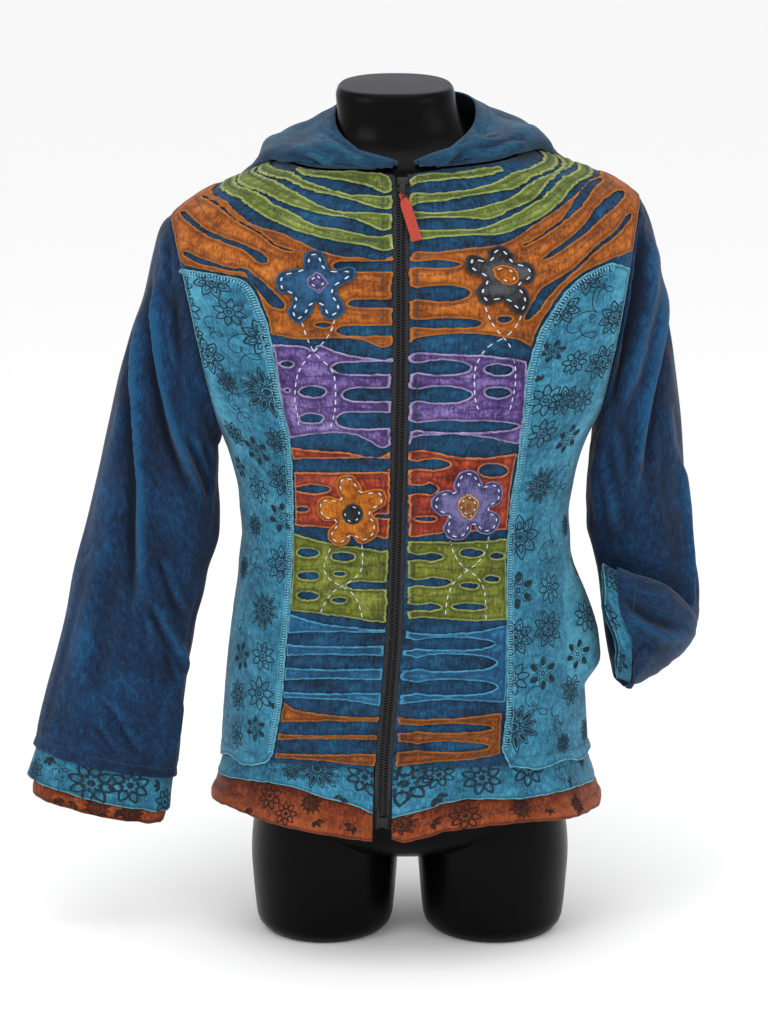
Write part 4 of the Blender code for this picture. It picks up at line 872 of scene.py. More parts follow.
def lens(left, right, top, bottom):
    """A slash between two raw edges, pointed at its ends. One that runs off at the zip keeps its
    height there, and is pinched a little where the seam beside the zip holds it."""
    width, tall = right - left, bottom - top
    middle = (top + bottom) / 2
    if left < 395 and right > 395:       # open to the zip at its left
        shape = ((left, middle - tall * 0.42), (410, middle - tall * 0.40), (417, middle - tall * 0.30),
                 (430, middle - tall * 0.46), ((417 + right) / 2, top),
                 (right - width * 0.10, middle - tall * 0.34), (right, middle),
                 (right - width * 0.12, middle + tall * 0.38), ((417 + right) / 2, bottom),
                 (430, middle + tall * 0.47), (417, middle + tall * 0.36), (410, middle + tall * 0.46),
                 (left, middle + tall * 0.46))
    elif right > 388 and left < 388:     # open to the zip at its right
        shape = ((left, middle), (left + width * 0.12, middle - tall * 0.38), ((left + 374) / 2, top),
                 (374, middle - tall * 0.40), (382, middle - tall * 0.24), (390, middle - tall * 0.36),
                 (right, middle - tall * 0.36), (right, middle + tall * 0.44), (390, middle + tall * 0.44),
                 (382, middle + tall * 0.52), (374, middle + tall * 0.46), ((left + 374) / 2, bottom),
                 (left + width * 0.12, middle + tall * 0.38))
    else:
        share = ((0, 0.5), (0.12, 0.14), (0.5, 0), (0.88, 0.16), (1, 0.5), (0.86, 0.88), (0.5, 1),
                 (0.14, 0.84))
        shape = [(left + width * u, top + tall * v) for u, v in share]
    return trace(rounded(shape, True))


def slit(route):
    """A slash along rows of (across, down, width)."""
    upper, lower = [], []
    route = rounded(route)
    for at, (across, down, width) in enumerate(route):
        before, after = route[max(at - 1, 0)], route[min(at + 1, len(route) - 1)]
        run = (after - before)[:2] / np.linalg.norm((after - before)[:2])
        ends = 0.25 if at in (0, len(route) - 1) else 1.0
        upper.append((across + run[1] * width * ends / 2, down - run[0] * width * ends / 2))
        lower.append((across - run[1] * width * ends / 2, down + run[0] * width * ends / 2))
    return trace(upper + lower[::-1])


orange_yoke = jersey("orange_yoke_jersey", "#633812", "#A26024", "#C88842", rim="#BC7A33", paling=0.30)
runs = []
for name, row in YOKES.items():
    side = row["side"]
    top, low, bottom = lines_of(row["edges"])
    lower_end = trace(low[:1])[0][1]
    outline = np.vstack([trace(rounded(top)), [shoulder(row["shoulder"])],
                         armhole_front(side, SHOULDER_TIP - 0.003, lower_end + 0.003,
                                       ARMHOLE_INSET * 0.55),
                         trace(rounded(low)), trace(rounded(bottom))])
    holes = [slit(route) for route in lines_of(row["slits"])]
    holes += [lens(*slash) for slash in lines_of(row["lenses"])[0]]
    lines = [trace(rounded(line)) for line in lines_of(row["seams"])]
    piece = cloth(name, beside(outline, side), orange_yoke, holes, lines + [seams[side]], lift=OVERLAY,
                  bead=0.0011, pucker=0.0008, grain=0.0032, seed=60 + side * 10, weave=(0.022, 0.012))
    dress(piece, name)
    reach, loops = TOPS[name]
    runs.append(threads(lines, reach, *SEAM_STITCH, within=loops))
sewing("yoke_stitches", runs, navy_thread)


# Slashed patches
# Five rows of jersey patches down each side of the zip, in purple, rust red, olive, sky blue and
# orange. Each is sewn down by level dark seams and slashed through between them; most slashes run
# off at the zip. The cut edges curl and show the paler, less worn inside of the cloth.
PATCHES = {
    # colour, heights of the seams, then top edge, bottom edge, slashes as left, right, top, bottom
    "purple_patch_right": ("purple", (375.5, 407), """
        274,345 305,347 312,351 320,345 342,354 382,360 392,358;
        392,443 382,447 368,440 354,434 324,432 291,437;
        341,400,361,374 281,294,361,367 285,291,388,392 300,326,386,397 350,400,387,401 300,324,413,423
        345,400,411,428"""),
    "purple_patch_left": ("purple", (377.5, 408.5), """
        409,357 417,353 463,355 500,357 526,361;
        518,443 472,435 440,434 417,436 409,444;
        392,471,360,375 484,513,364,375 392,471,386,403 484,510,387,398 392,518,420,432"""),
    "red_patch_right": ("red", (477, 502, 521), """
        292,447 324,451 345,452 361,455 378,457 392,451;
        392,537 380,537 329,527 296,525;
        295,400,457,472 297,331,484,493 297,310,506,512 378,400,513,518"""),
    "red_patch_left": ("red", (476.5, 508), """
        409,452 418,450 436,452 457,457 490,457 516,453;
        506,529 444,532 417,536 409,536;
        392,451,458,470 392,439,482,495 478,507,463,477 414,436,516,521"""),
    "olive_patch_right": ("olive", (565, 590), """
        294,533 310,538 330,543 365,548 382,551 392,548;
        392,619 382,622 342,616 292,610;
        298,320,548,557 332,356,552,561 298,320,571,580 334,346,571,576 353,400,581,589 298,320,591,600
        332,347,597,603"""),
    "olive_patch_left": ("olive", (568, 595), """
        408,541 444,542 480,541 506,539;
        506,619 470,620 426,617 408,619;
        392,443,552,561 459,483,548,557 489,503,552,559 392,451,577,587 460,478,582,589 484,499,575,582
        451,486,603,610 392,442,603,611"""),
    "blue_patch_right": ("sky", (650, 673.5), """
        291,615 324,624 350,627 382,630 392,626;
        390,704 383,706 361,702 330,699 285,697;
        295,400,631,646 292,400,654,669 290,400,678,693"""),
    "blue_patch_left": ("sky", (652, 675), """
        406,630 416,633 444,634 481,631 506,625;
        505,702 470,700 441,699 415,702 400,704;
        390,494,637,650 390,497,654,671 390,497,679,695"""),
    "orange_patch_right": ("orange", (736.5, 757), """
        285,702 290,706 300,711 330,715 375,718 390,715;
        385,766 366,765 320,760 276,757;
        286,396,720,735 281,396,738,754"""),
    "orange_patch_left": ("orange", (737, 756), """
        398,717 412,719 441,719 470,717 501,713;
        499,753 484,757 468,759 450,760 428,762 396,766;
        388,493,723,733 386,489,741,752"""),
}
BASES = ["front_base_right", "front_base_left"]
patch_cloths = {
    "purple": jersey("purple_jersey", "#34264F", "#604B82", "#9A88B8", rim="#B4A8CB", paling=0.45),
    "red": jersey("red_jersey", "#571C14", "#913B29", "#C06A42", rim="#D28E5A", paling=0.45),
    "olive": jersey("olive_jersey", "#3F4519", "#6B732C", "#959B4C", rim="#A8AE6E", paling=0.38),
    "sky": jersey("sky_jersey", "#153F5E", "#256488", "#4C8DAF", rim="#5AA6C6", paling=0.45),
    "orange": jersey("orange_jersey", "#522C10", "#8A501D", "#B87A34", rim="#B0722A", paling=0.35),
}
runs = []
for name, (colour, levels, text) in PATCHES.items():
    side = 1 if name.endswith("left") else -1
    top, bottom, slashes = lines_of(text)
    outline = trace(list(rounded(top)) + list(rounded(bottom)))
    holes = [lens(*slash) for slash in slashes]
    left, right = min(top[0][0], bottom[-1][0]) + 5, max(top[-1][0], bottom[0][0]) - 1
    lines = [trace([(across, down + 1.1 * math.sin(across * 0.11 + down))
                    for across in np.arange(left, right, 6)]) for down in levels]
    piece = cloth(name, beside(outline, side), patch_cloths[colour], holes, lines + [seams[side]],
                  lift=OVERLAY, bead=0.0012, pucker=0.0009, grain=0.0030, seed=100 + len(runs) * 9.0,
                  weave=(0.007, 0.020) if colour == "red" else (0.018, 0.008))
    dress(piece, name)
    reach, loops = TOPS[name]
    whole = [line[inside(line, loops)] for line in (walk(line, 0.0028) for line in lines)]
    runs.append(threads([line for line in whole if len(line) > 6], reach, *SEAM_STITCH, within=loops))
sewing("patch_stitches", runs, navy_thread)

layers = ground([name for name in TOPS if name not in BASES])
sewing("placket_stitches", [threads([seams[side]], layers, 0.0023, 0.0007, 0.00036, 0.00035)
                            for side in (-1, 1)], navy_thread)


# Side panels
# Sky blue jersey printed with dark line flowers, from the armholes down to a raw hem that flares.
# The edge beside the patches is turned and overlocked; the left one's cuff pocket bulges.
EDGE_STITCH = (0.0022, 0.0007, 0.0003, 0.0003)
SIDE_PANELS = {
    "side_panel_right": (-1, """
        182,269 198,272 217,275 233,278 243,281 250,286 256,295 262,309 268.5,326 272,344 276.5,368
        282.5,400 287,417 291,445 293,469 294.5,528 293,565 291,609 289,625 286,654 282.5,702 273.5,754"""),
    "side_panel_left": (1, """
        611,263 590,272 577,281 566,291 556,305 546,320 537.5,336 532,352 525.5,380 522,417 519,443
        516,469 510,500 507.5,534 506.5,574 506.5,620 506.5,702 501.5,751"""),
}
POCKET_BULGE = 0.018
INK_LINE = 0.00050       # half the width of a printed line


def pocket(flat):
    """How far the tucked-in cuff pushes the pocket out."""
    turn, height = flat[:, 0] / STRETCH, flat[:, 1]
    over_height = (1 - ease(height, 0.300, 0.405)) * ease(height, 0.255, 0.285)
    return POCKET_BULGE * ease(turn, 0.66, 0.93) * over_height


printed_blue = jersey("printed_blue_jersey", "#215267", "#3A7C95", "#5FA3B8", rim="#7DBBCB", paling=0.30)
blue_thread = thread_material("blue_thread", "#4E93AE", "#93D3E2")
for name, (side, edge) in SIDE_PANELS.items():
    column = trace(rounded(lines_of(edge)[0]))
    turns = side * np.linspace(abs(column[-1, 0]) / STRETCH + 0.03, EDGE, 24)
    flare = hem_height(turns) - 0.004 + 0.0025 * np.sin(turns * 21 + side)
    outline = np.vstack([column, np.stack([turns * STRETCH, flare], axis=1),
                         [(side * EDGE * STRETCH, ARMPIT[side] - 0.012)],
                         armhole_front(side, column[0, 1] - 0.002, ARMPIT[side] + 0.010,
                                       ARMHOLE_INSET * 0.5)[::-1]])
    fold = [walk(column, 0.004)]
    hem = np.stack([turns * STRETCH, hem_height(turns) + 0.007], axis=1)

    def shape(flat, side=side, fold=fold):
        seam = reach_of(flat, fold, 0.02)
        ridge = 0.0010 * np.exp(-((seam - 0.0026) / 0.0020) ** 4)
        away = 0.0030 * (1 - ease(flat[:, 1], 0.186, 0.204)) * (0.7 + 0.5 * np.sin(flat[:, 0] * 95 + side))
        soft = 0.0016 * np.exp(-((flat[:, 0] * side - 0.150 + 0.10 * (flat[:, 1] - 0.5)) / 0.012) ** 2)
        soft *= ease(flat[:, 1], 0.42, 0.56)
        return ridge + away + soft + (pocket(flat) if side > 0 else 0.0)

    piece = cloth(name, outline, printed_blue, seams=[hem], lift=OVERLAY, bead=0.0006, pucker=0.0004,
                  grain=0.0036, seed=200 + side, bulge=shape, weave=(0.030, 0.050))
    dress(piece, name)
    reach, loops = TOPS[name]
    inner = walk(column, 0.0026)
    across = sideways(inner, False)
    across = across * (1 if inside(inner + across * 0.003, loops).mean() > 0.5 else -1)
    ladder = [np.stack([start + aside * 0.0010, start + aside * 0.0052 + run * 0.0012])
              for start, aside, run in zip(inner[:-1], across[:-1], np.diff(inner, axis=0))]
    runs = [threads(ladder, reach, 0.0040, 0.0004, 0.00045, 0.0003),
            threads([inner[2:-2] + across[2:-2] * 0.0062], reach, *EDGE_STITCH)]
    sewing(name + "_overlock", runs, blue_thread)
    sewing(name + "_hem_stitches", [threads([hem[1:-1]], reach, *EDGE_STITCH)], navy_thread)


def turned_by(angle):
    """The matrix that turns a figure's points."""
    return np.array(((math.cos(angle), math.sin(angle)), (-math.sin(angle), math.cos(angle))))


def petal(angle, inner, outer, half):
    """The closed outline of a pointed petal, in its flower's own units."""
    along = np.linspace(0, 1, 9)
    wide = half * np.sin(math.pi * along ** 0.75) ** 0.85
    line = np.stack([inner + (outer - inner) * along, wide], axis=1)
    return np.vstack([line, line[::-1] * (1, -1)]) @ turned_by(angle)


def filled(angle, inner, outer, half):
    """A filled petal, as a stroke along its axis with a width that swells."""
    along = np.linspace(0, 1, 8)
    axis = np.stack([inner + (outer - inner) * along, 0 * along], axis=1)
    return axis @ turned_by(angle), half * np.sin(math.pi * along ** 0.8) ** 0.8 + 0.01


def circle(radius, count=14):
    """A ring of a figure."""
    angles = np.linspace(0, math.tau, count + 1)
    return radius * np.stack([np.cos(angles), np.sin(angles)], axis=1)


def dot(radius):
    """A filled middle, as a short stroke that swells."""
    along = np.linspace(-1, 1, 7)
    return np.stack([along * radius, 0 * along], axis=1), radius * np.sqrt(1.02 - along ** 2)


def figures(text):
    """Printed figures, each one kind,across,down,size in mm,turn."""
    return [(kind, *(float(value) for value in values))
            for kind, *values in (figure.split(",") for figure in text.split())]


def motif(kind, size, turn):
    """The strokes of one printed figure in metres: (points, half widths)."""
    strokes, thin = [], INK_LINE / size
    if kind == "lotus":
        for at in range(8):
            angle = turn + at * math.tau / 8
            strokes += [(petal(angle, 0.30, 1.0, 0.22), thin * 1.3),
                        (petal(angle, 0.34, 0.72, 0.10), thin)]
        strokes += [(circle(0.21), thin * 1.1), dot(0.12)]
    elif kind == "plain":
        for at in range(8):
            strokes.append((petal(turn + at * math.tau / 8, 0.28, 1.0, 0.21), thin * 1.2))
        strokes += [(circle(0.14), thin * 1.3)]
    elif kind == "dark":
        for at in range(6):
            angle = turn + at * math.tau / 6
            strokes += [filled(angle + 0.10, 0.42, 1.0, 0.17),
                        (petal(angle, 0.26, 0.95, 0.22), thin * 0.8)]
        strokes += [(circle(0.13, 6), thin * 1.2)]
    elif kind == "rays":
        for at in range(12):
            angle = turn + at * math.tau / 12
            reach = 1.0 if at % 2 else 0.88
            strokes += [(petal(angle, 0.24, reach, 0.125), thin),
                        filled(angle, 0.36, reach * 0.82, 0.06)]
        strokes += [(circle(0.22), thin * 1.2), dot(0.14)]
    elif kind == "bold":
        for at in range(8):
            angle = turn + at * math.tau / 8
            strokes += [(petal(angle, 0.34, 0.96, 0.20), 0.055), filled(angle, 0.24, 0.50, 0.035)]
        strokes += [dot(0.17)]
    elif kind == "leaf":
        for at in (-1, 0, 1):
            strokes.append(filled(turn + at * 0.75, 0.12, 1.0, 0.22))
    elif kind == "curl":
        along = np.linspace(0, 1, 90)
        wide = np.stack([0.42 * np.sin(along * 9.0 + turn) + 0.26 * np.cos(along * 21.0 + turn * 2),
                         1.0 - 2.0 * along + 0.24 * np.sin(along * 21.0 + turn * 2)
                         + 0.20 * np.cos(along * 7.0)], axis=1)
        strokes += [(wide, thin * 0.8), (circle(0.10, 10) + (0.3 * math.cos(turn), 0.2), thin * 0.8)]
    return [(line * size, np.broadcast_to(np.asarray(half) * size, len(line)))
            for line, half in strokes]


def printed(name, marks, centres, top, loops, material, place=lay,
            margin=0.0):
    """Print figures on a piece: thin strips of ink just over the cloth, clipped at its edges."""
    verts, faces, start = [], [], 0
    for (kind, _, _, size, turn), centre in zip(marks, centres):
        for line, half in motif(kind, size / 1000, turn):
            fine = walk(np.column_stack([line, half]), 0.0011 if half.max() < 0.0012 else 0.0015)
            line, half = fine[:, :2], fine[:, 2:]
            if len(line) < 2:
                continue
            aside = sideways(line, False)
            rows = np.stack([line - aside * half, line, line + aside * half], axis=1) + centre
            keep = inside(rows[:, 1], loops)
            if margin:
                rims = [np.vstack([loop, loop[:1]]) for loop in loops]
                keep &= reach_of(rows[:, 1], rims) > margin
            numbers = np.cumsum(keep) - 1
            for at in np.nonzero(keep[:-1] & keep[1:])[0]:
                low, high = start + numbers[at] * 3, start + numbers[at + 1] * 3
                faces += [(low, high, high + 1, low + 1), (low + 1, high + 1, high + 2, low + 2)]
            verts.append(rows[keep].reshape(-1, 2))
            start += 3 * int(keep.sum())
    flat = np.vstack(verts)
    lifts = top(flat) + np.tile((0.00012, 0.00022, 0.00012), len(flat) // 3)
    points = place(flat, lifts)
    faces = np.array(faces)
    # strips run either way, so each face is turned to look out of the cloth
    corners = flat[faces]
    area = ((corners[:, 2, 0] - corners[:, 0, 0]) * (corners[:, 3, 1] - corners[:, 1, 1])
            - (corners[:, 3, 0] - corners[:, 1, 0]) * (corners[:, 2, 1] - corners[:, 0, 1]))
    faces = np.where(area[:, None] < 0, faces[:, ::-1], faces)
    piece = make_mesh(name, points, faces, material)
    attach(piece, "jacket")


def ink_material(name, colour, faded):
    """Flat screen printing ink, matt and a little worn through to the cloth."""
    material, tree, shader = material_of(name)
    place = add(tree, "ShaderNodeTexCoord").outputs["Object"]
    paling = add(tree, "ShaderNodeTexNoise", {"Vector": place, "Scale": 260.0, "Detail": 3.0}
               ).outputs["Fac"]
    worn = add(tree, "ShaderNodeMapRange", {"Value": paling, "From Min": 0.52, "From Max": 0.75}
               ).outputs["Result"]
    mixed = add(tree, "ShaderNodeMix", {0: worn, 6: linear(colour), 7: linear(faded)},
                data_type="RGBA").outputs[2]
    tree.links.new(mixed, shader.inputs["Base Color"])
    shader.inputs["Roughness"].default_value = 0.85
    shader.inputs["Specular IOR Level"].default_value = 0.2
    return material


dark_ink = ink_material("dark_ink_on_blue", "#16242E", "#28485A")
MARKS = {
    "side_panel_right": """
        lotus,213,281,18,0.2 plain,190,308,15,0.1 plain,230,312,14,0.5 lotus,265,338,18,0.3
        lotus,210,355,18,0 curl,243,345,20,0.6 lotus,228,381,11,0.2 rays,268,392,25,0.1
        curl,240,408,15,2 lotus,236,432,13,0.3 dark,258,450,15,0.4 lotus,280,441,14,0.2
        dark,242,466,12,0.1 lotus,283,480,17,0.4 plain,260,489,15,0 dark,282,517,16,0.2
        lotus,257,525,12,0.1 lotus,282,564,19,0 curl,257,561,18,1.2 lotus,246,568,12,0.5
        rays,265,610,20,0.3 curl,243,625,13,0.2 dark,243,656,15,0.3 plain,264,656,15,0.6
        lotus,239,695,16,0.2 plain,261,693,17,0.1 leaf,272,707,7,0.9 dark,257,728,13,0.5
        plain,238,735,13,0.2 plain,199,333,9,0.2 curl,215,330,11,3 lotus,184,285,13,0""",
    "side_panel_left": """
        lotus,585,276,17,0.1 curl,604,283,13,1.4 curl,583,322,22,0.3 lotus,612,317,16,0.3
        lotus,561,309,15,0.6 dark,552,351,11,0.2 plain,574,362,12,0 lotus,600,361,18,0.4
        leaf,539,381,7,2 plain,545,400,16,0.1 lotus,564,400,15,0.3 plain,581,400,13,0.5
        plain,541,433,15,0.2 dark,566,438,15,0.5 rays,539,485,20,0.25 curl,560,478,20,1
        lotus,519,537,23,0.1 curl,546,549,22,0.1 lotus,563,525,12,0.4 lotus,577,565,19,0.2
        plain,548,588,16,0 dark,517,590,19,0.3 plain,573,617,16,0.3 lotus,547,629,19,0.2
        lotus,515,637,19,0.4 dark,571,654,15,0.1 dark,542,673,17,0.35 plain,512,678,17,0.1
        lotus,569,690,16,0.3 dark,591,640,12,0.4 rays,513,727,26,0.1 curl,536,706,18,2.4
        curl,556,722,12,4 lotus,562,743,10,0.1 lotus,582,730,13,0.5 curl,586,590,13,0.8""",
}
for name, text in MARKS.items():
    marks = figures(text)
    reach, loops = TOPS[name]
    centres = trace([(across, down) for _, across, down, *_ in marks])
    printed(name + "_print", marks, centres, reach, loops, dark_ink, margin=0.0016)


# Sewn flowers
# Four jersey flowers with raw, curled rims, each with its middle, held by white running stitches
# done by hand. Stems of the same stitches cross below them and run down over the patches.
FLOWERS = {
    # cloth, middle, petals from the top one round, each from its root out and back
    "flower_blue": ("denim", (318, 284), """
        303.6,264 306,255.5 313,250.7 322.4,253.4 326.9,262;
        335,271.5 350.9,267.7 356.6,272.2 354.2,280 340,287;
        343.8,304 344.4,312.6 334.4,319.8 324,316.6 319,304;
        311,315 302,322.6 293.9,321 289,312 293,303;
        280.5,292 277,283.4 278.6,276 286,272 297,269.5"""),
    "flower_charcoal": ("charcoal", (505, 276), """
        487.5,262 488,252 495,247.4 504,247.4 512.7,256;
        518,264 526,262.6 533.4,269 534,277 529,284.4 520.5,283;
        525.5,291 529.4,301 525.5,312 519.4,314.4 510,308.5;
        495,303 485.7,306 478,299.7 476.5,290.5 482.7,282;
        471.9,275 465.6,270.6 464.8,260 470.4,255.7 482,258.6"""),
    "flower_orange": ("orange", (354, 511), """
        338,489 337.2,479 343.2,474.4 353.7,474.4 360.4,483;
        370,489 382.5,488.6 387.3,496 384,505 374,510;
        378.6,521 377.4,533 369.4,540.3 360,541.6 354.5,536;
        348,542 338,544.4 330.6,538 329.8,529.6 337,522;
        325,519.4 318.8,510 319.5,499.6 328.9,495.2 339,498"""),
    "flower_lavender": ("lavender", (466, 504), """
        454,486 454.3,478 460,471.4 469.3,468.5 477.5,474 481,484;
        489,480 498,482.3 501,492 497,502.6 488,506;
        496.5,513 497.7,523 490.2,532 480,532.5 473,524;
        469,530 462.8,537.8 449.7,537.8 442.2,528 447,518;
        438,514 430.4,504.8 434,494 444,489 452,490"""),
}
CENTRES = {
    "flower_blue_centre": ("lavender", """
        308.6,280.4 312.6,277 316.4,273.6 320.5,275 324.2,276.7 327,281 329.6,285 325,290 320.9,295
        315,290.5 308.9,287"""),
    "flower_charcoal_centre": ("orange", """
        491.6,270 495,268 502,266.4 510,268 516,273 518,280 514,284.4 507,286 500,283.8 495,278"""),
    "flower_orange_centre": ("charcoal", """
        353.7,502.6 360,504.8 363.6,509.6 362.8,516.8 358.2,521.6 351,522.2 345.4,518.8 343.8,512
        347,505.6"""),
    "flower_lavender_centre": ("brown", """
        466.3,492.4 472,495.4 477,501 475.6,508.4 471,515.4 467.8,517.8 462,513.6 457,506.4 458,499"""),
}
STEMS = """
    302,322 305,331 310,345 318,356 331,368 335,378 336,395 335,412 330,431;
    335,319 331,332 322,344 308,358 299,372 296,388 296,402 299,418 300,431;
    485,307 489,318 496,330 504,338 510,346 513,356;
    521,315 517,324 510,333 500,340 489,346 480,357 475,368 474,384 475,400 479,412;
    513,358 515,372 514,388 511,402 508,416;
    331,548 326,560 325,571 332,580 342,586 352,592 359,603 363,620;
    362,544 363,558 361,571 352,580 342,586 332,593 324,606 319,619;
    450,540 453,552 459,562 467,570 476,576 483,588 485,606 485,624;
    489,536 485,550 477,562 467,570 457,578 450,588 446,604 445,621"""
flower_cloths = {
    "denim": jersey("denim_blue_jersey", "#142E45", "#204664", "#38678A", rim="#3E6C8C", paling=0.4),
    "charcoal": jersey("charcoal_jersey", "#151619", "#2E2F33", "#595A5F", rim="#4C4D52", paling=0.5),
    "orange": jersey("orange_flower_jersey", "#643509", "#9F5F17", "#C98730", rim="#CC8026", paling=0.35),
    "lavender": jersey("lavender_jersey", "#332D52", "#4A456E", "#76739C", rim="#8C88B0", paling=0.5),
    "brown": jersey("brown_jersey", "#4A2F1C", "#7D5536", "#B08A58", rim="#D9A868", paling=0.4),
}
white_thread = thread_material("white_thread", "#A3B4C2", "#D9E1E6")


def within_rim(name, step, tried, aside):
    """The outer surface of a flower, and a line that runs round inside its raw rim."""
    reach, loops = TOPS[name]
    ring = walk(loops[0], step, True)
    way = -1 if inside(ring - sideways(ring, True) * tried, loops).mean() > 0.5 else 1
    return reach, ring + sideways(ring, True) * way * aside


hand = []
for at, (name, (colour, middle, text)) in enumerate(FLOWERS.items()):
    petals = lines_of(text)
    line = []
    for first, second in zip(petals, petals[1:] + petals[:1]):
        notch = (np.array(first[-1]) + second[0]) / 2
        line += list(first) + [tuple(notch + (np.array(middle) - notch) * 0.16)]
    line = rounded(line, True)

    def cup(flat, centre=trace([middle])[0]):
        return 0.0012 * np.exp(-(np.linalg.norm(flat - centre, axis=1) / 0.013) ** 2)

    piece = cloth(name, trace(line), flower_cloths[colour], lift=0.0030, bead=0.0010, pucker=0.0013,
                  grain=0.0026, seed=300 + at * 11.0, bulge=cup, weave=(0.010, 0.010))
    dress(piece, name)
    reach, ring = within_rim(name, 0.0025, 0.002, 0.0030)
    steady = (np.roll(ring, 1, axis=0) + ring + np.roll(ring, -1, axis=0)) / 3
    hand.append(threads([np.vstack([steady, steady[:1]])], reach, 0.0042, 0.0034, 0.00055, 0.0007,
                        seed=at))
    core = name + "_centre"
    tint, text = CENTRES[core]
    piece = cloth(core, trace(rounded(lines_of(text)[0], True)), flower_cloths[tint], lift=0.0056,
                  bead=0.0010, pucker=0.0006, grain=0.0024, seed=340 + at * 5.0, weave=(0.008, 0.008))
    dress(piece, core)
    reach, ring = within_rim(core, 0.0020, 0.0015, 0.0024)
    hand.append(threads([np.vstack([ring, ring[:1]])], reach, 0.0032, 0.0040, 0.00050, 0.0006,
                        seed=at + 9))
patches_below = ground([name for name in TOPS if name not in BASES and "flower" not in name
                        and "side_panel" not in name])
hand.append(threads([trace(rounded(line)) for line in lines_of(STEMS)], patches_below,
                    0.0050, 0.0026, 0.00045, 0.0006))
sewing("hand_stitches", hand, white_thread)


# Sleeves
# Long tubes of the dark teal jersey, set in at the armholes. They hang in long soft folds, and end
# in a raw edge with a line of stitches above it. The left one is bent and doubles back on itself.
SLEEVE_GAP = 0.0007
TUBE = 112               # points round a sleeve or a cuff
GIRTH, REACH = 0.36, 0.60            # about a sleeve's width opened out, and its length, in metres


def rings_of(text):
    """Rows of numbers parted by spaces."""
    return lines_of(text)[0]


def folds_of(text):
    """Folds that the front view shows, each a line and then its height in mm, its width and how far
    beside it its trough lies."""
    return [(fold[:-1], *fold[-1]) for fold in lines_of(text)]


SLEEVES = {
    # rings: outer across and down, inner across and down, half depth, depth of the middle, turn of
    # the front
    "sleeve_right": (-1, rings_of("""
        159,229,217,446,0.06,0,0 151,256,218,464,0.061,0,0 142,299,219,486,0.061,-0.001,0
        131,334,220,510,0.06,-0.002,0 118,380,219,536,0.058,-0.004,0 107,430,211,564,0.055,-0.006,0
        97,479,204,594,0.052,-0.008,0 86,524,196,622,0.049,-0.01,0 75,568,191,650,0.046,-0.012,0
        63,626,187,686,0.043,-0.014,0 47,684,181,728,0.041,-0.016,0 34,743,176,774,0.04,-0.018,0""")),
    "sleeve_left": (1, rings_of("""
        650,222,597,432,0.06,0,0 656,248,592,446,0.061,0.003,0 661,276,589,462,0.059,0.007,0
        668,320,587,484,0.056,0.012,0 674,368,586,502,0.053,0.017,0 680,420,587,518,0.05,0.022,0
        685,474,588,532,0.046,0.026,0 691,525,592,548,0.041,0.029,0 696,562,597,572,0.036,0.032,0
        698,590,602,606,0.033,0.033,15 698,606,608,648,0.029,0.024,50 695,615,614,672,0.023,0.003,90
        690,606,617,682,0.026,-0.02,132 670,588,618,685,0.03,-0.035,168
        643,577,619,686,0.031,-0.039,180 617,568,619,685,0.031,-0.039,180""")),
}
CREASES = {
    "sleeve_right": folds_of("""
        142,292 137,343 135,382 136,409 138,448 141,485 140,523 141,563 139,600 134,640 4.2,5.5,-8;
        158,262 157,287 157,320 158.5,351 162,382 168,409 176,438 187,467 199,490 207,512 4.6,5,-7;
        168,300 170,331 173,350 180,372 2,4,5;
        164,232 165,262 164,290 1.8,3.2,4;
        171,240 173,268 170,296 1.2,2.8,3;
        206,440 213,462 219,486 2.4,4,-5;
        188,430 199,452 210,476 217,500 2.2,4.5,-5;
        160,552 170,575 178,599 189,620 2.6,4,-5;
        150,592 158,612 172,638 184,662 189,682 2.6,4.5,-6;
        168,645 176,668 182,690 1.8,3.6,-4;
        146,575 146,600 150,626 152,660 1.6,5,-6;
        100,694 117,709 131,735 147,758 2.2,4,-5;
        96,720 106,733 116,750 1.4,3.6,-4;
        186,700 180,726 172,752 1.4,4,5;
        112,470 104,540 92,600 80,660 70,710 1.8,12,18;
        128,380 118,430 110,480 1.2,6,8;
        84,560 90,556 96,548 1,2.5,3"""),
    "sleeve_left": folds_of("""
        632,205 633,257 626,304 616,352 606,388 597,412 4.2,5,7;
        650,225 652,256 649,300 640,345 628,385 616,420 3,6.5,-9;
        659,257 662,281 661,319 654,367 647,395 641,430 637,470 634,505 3.6,6,9;
        598,440 603,470 612,505 620,540 1.6,7,9;
        610,418 618,450 622,490 1.5,6,8;
        676,440 683,481 687,508 689,540 691,571 692,600 691,620 2.4,3,5;
        668,400 672,440 676,480 1.4,5,6;
        640,200 644,222 645,240 1.5,3,3;
        592,455 596,490 600,530 1.2,5,6;
        604,592 616,604 630,618 646,630 668,636 690,634 3,6,8;
        618,660 634,652 650,654 1.6,4,5"""),
}
# folds on the sides that the front view doesn't show: along, turn, height, length, width
FOLDS = {
    "sleeve_right": rings_of("""
        0.3,0.62,0.005,0.22,0.03 0.28,0.68,-0.004,0.2,0.03 0.5,0.74,0.0045,0.26,0.03
        0.48,0.79,-0.0035,0.22,0.026 0.18,0.84,0.0045,0.16,0.028 0.2,0.9,-0.0035,0.16,0.03
        0.78,0.66,0.003,0.12,0.04 0.7,0.57,-0.0035,0.16,0.03 0.86,0.8,0.0022,0.1,0.035"""),
    "sleeve_left": rings_of("""
        0.22,0.62,0.0045,0.16,0.03 0.24,0.69,-0.0035,0.16,0.03 0.34,0.76,0.004,0.18,0.03
        0.36,0.82,-0.003,0.16,0.026 0.16,0.88,0.004,0.14,0.028 0.47,0.66,0.003,0.08,0.035
        0.52,0.86,-0.003,0.07,0.035"""),
}


def around_tube():
    """The angles of a tube's points."""
    return np.arange(TUBE) * math.tau / TUBE


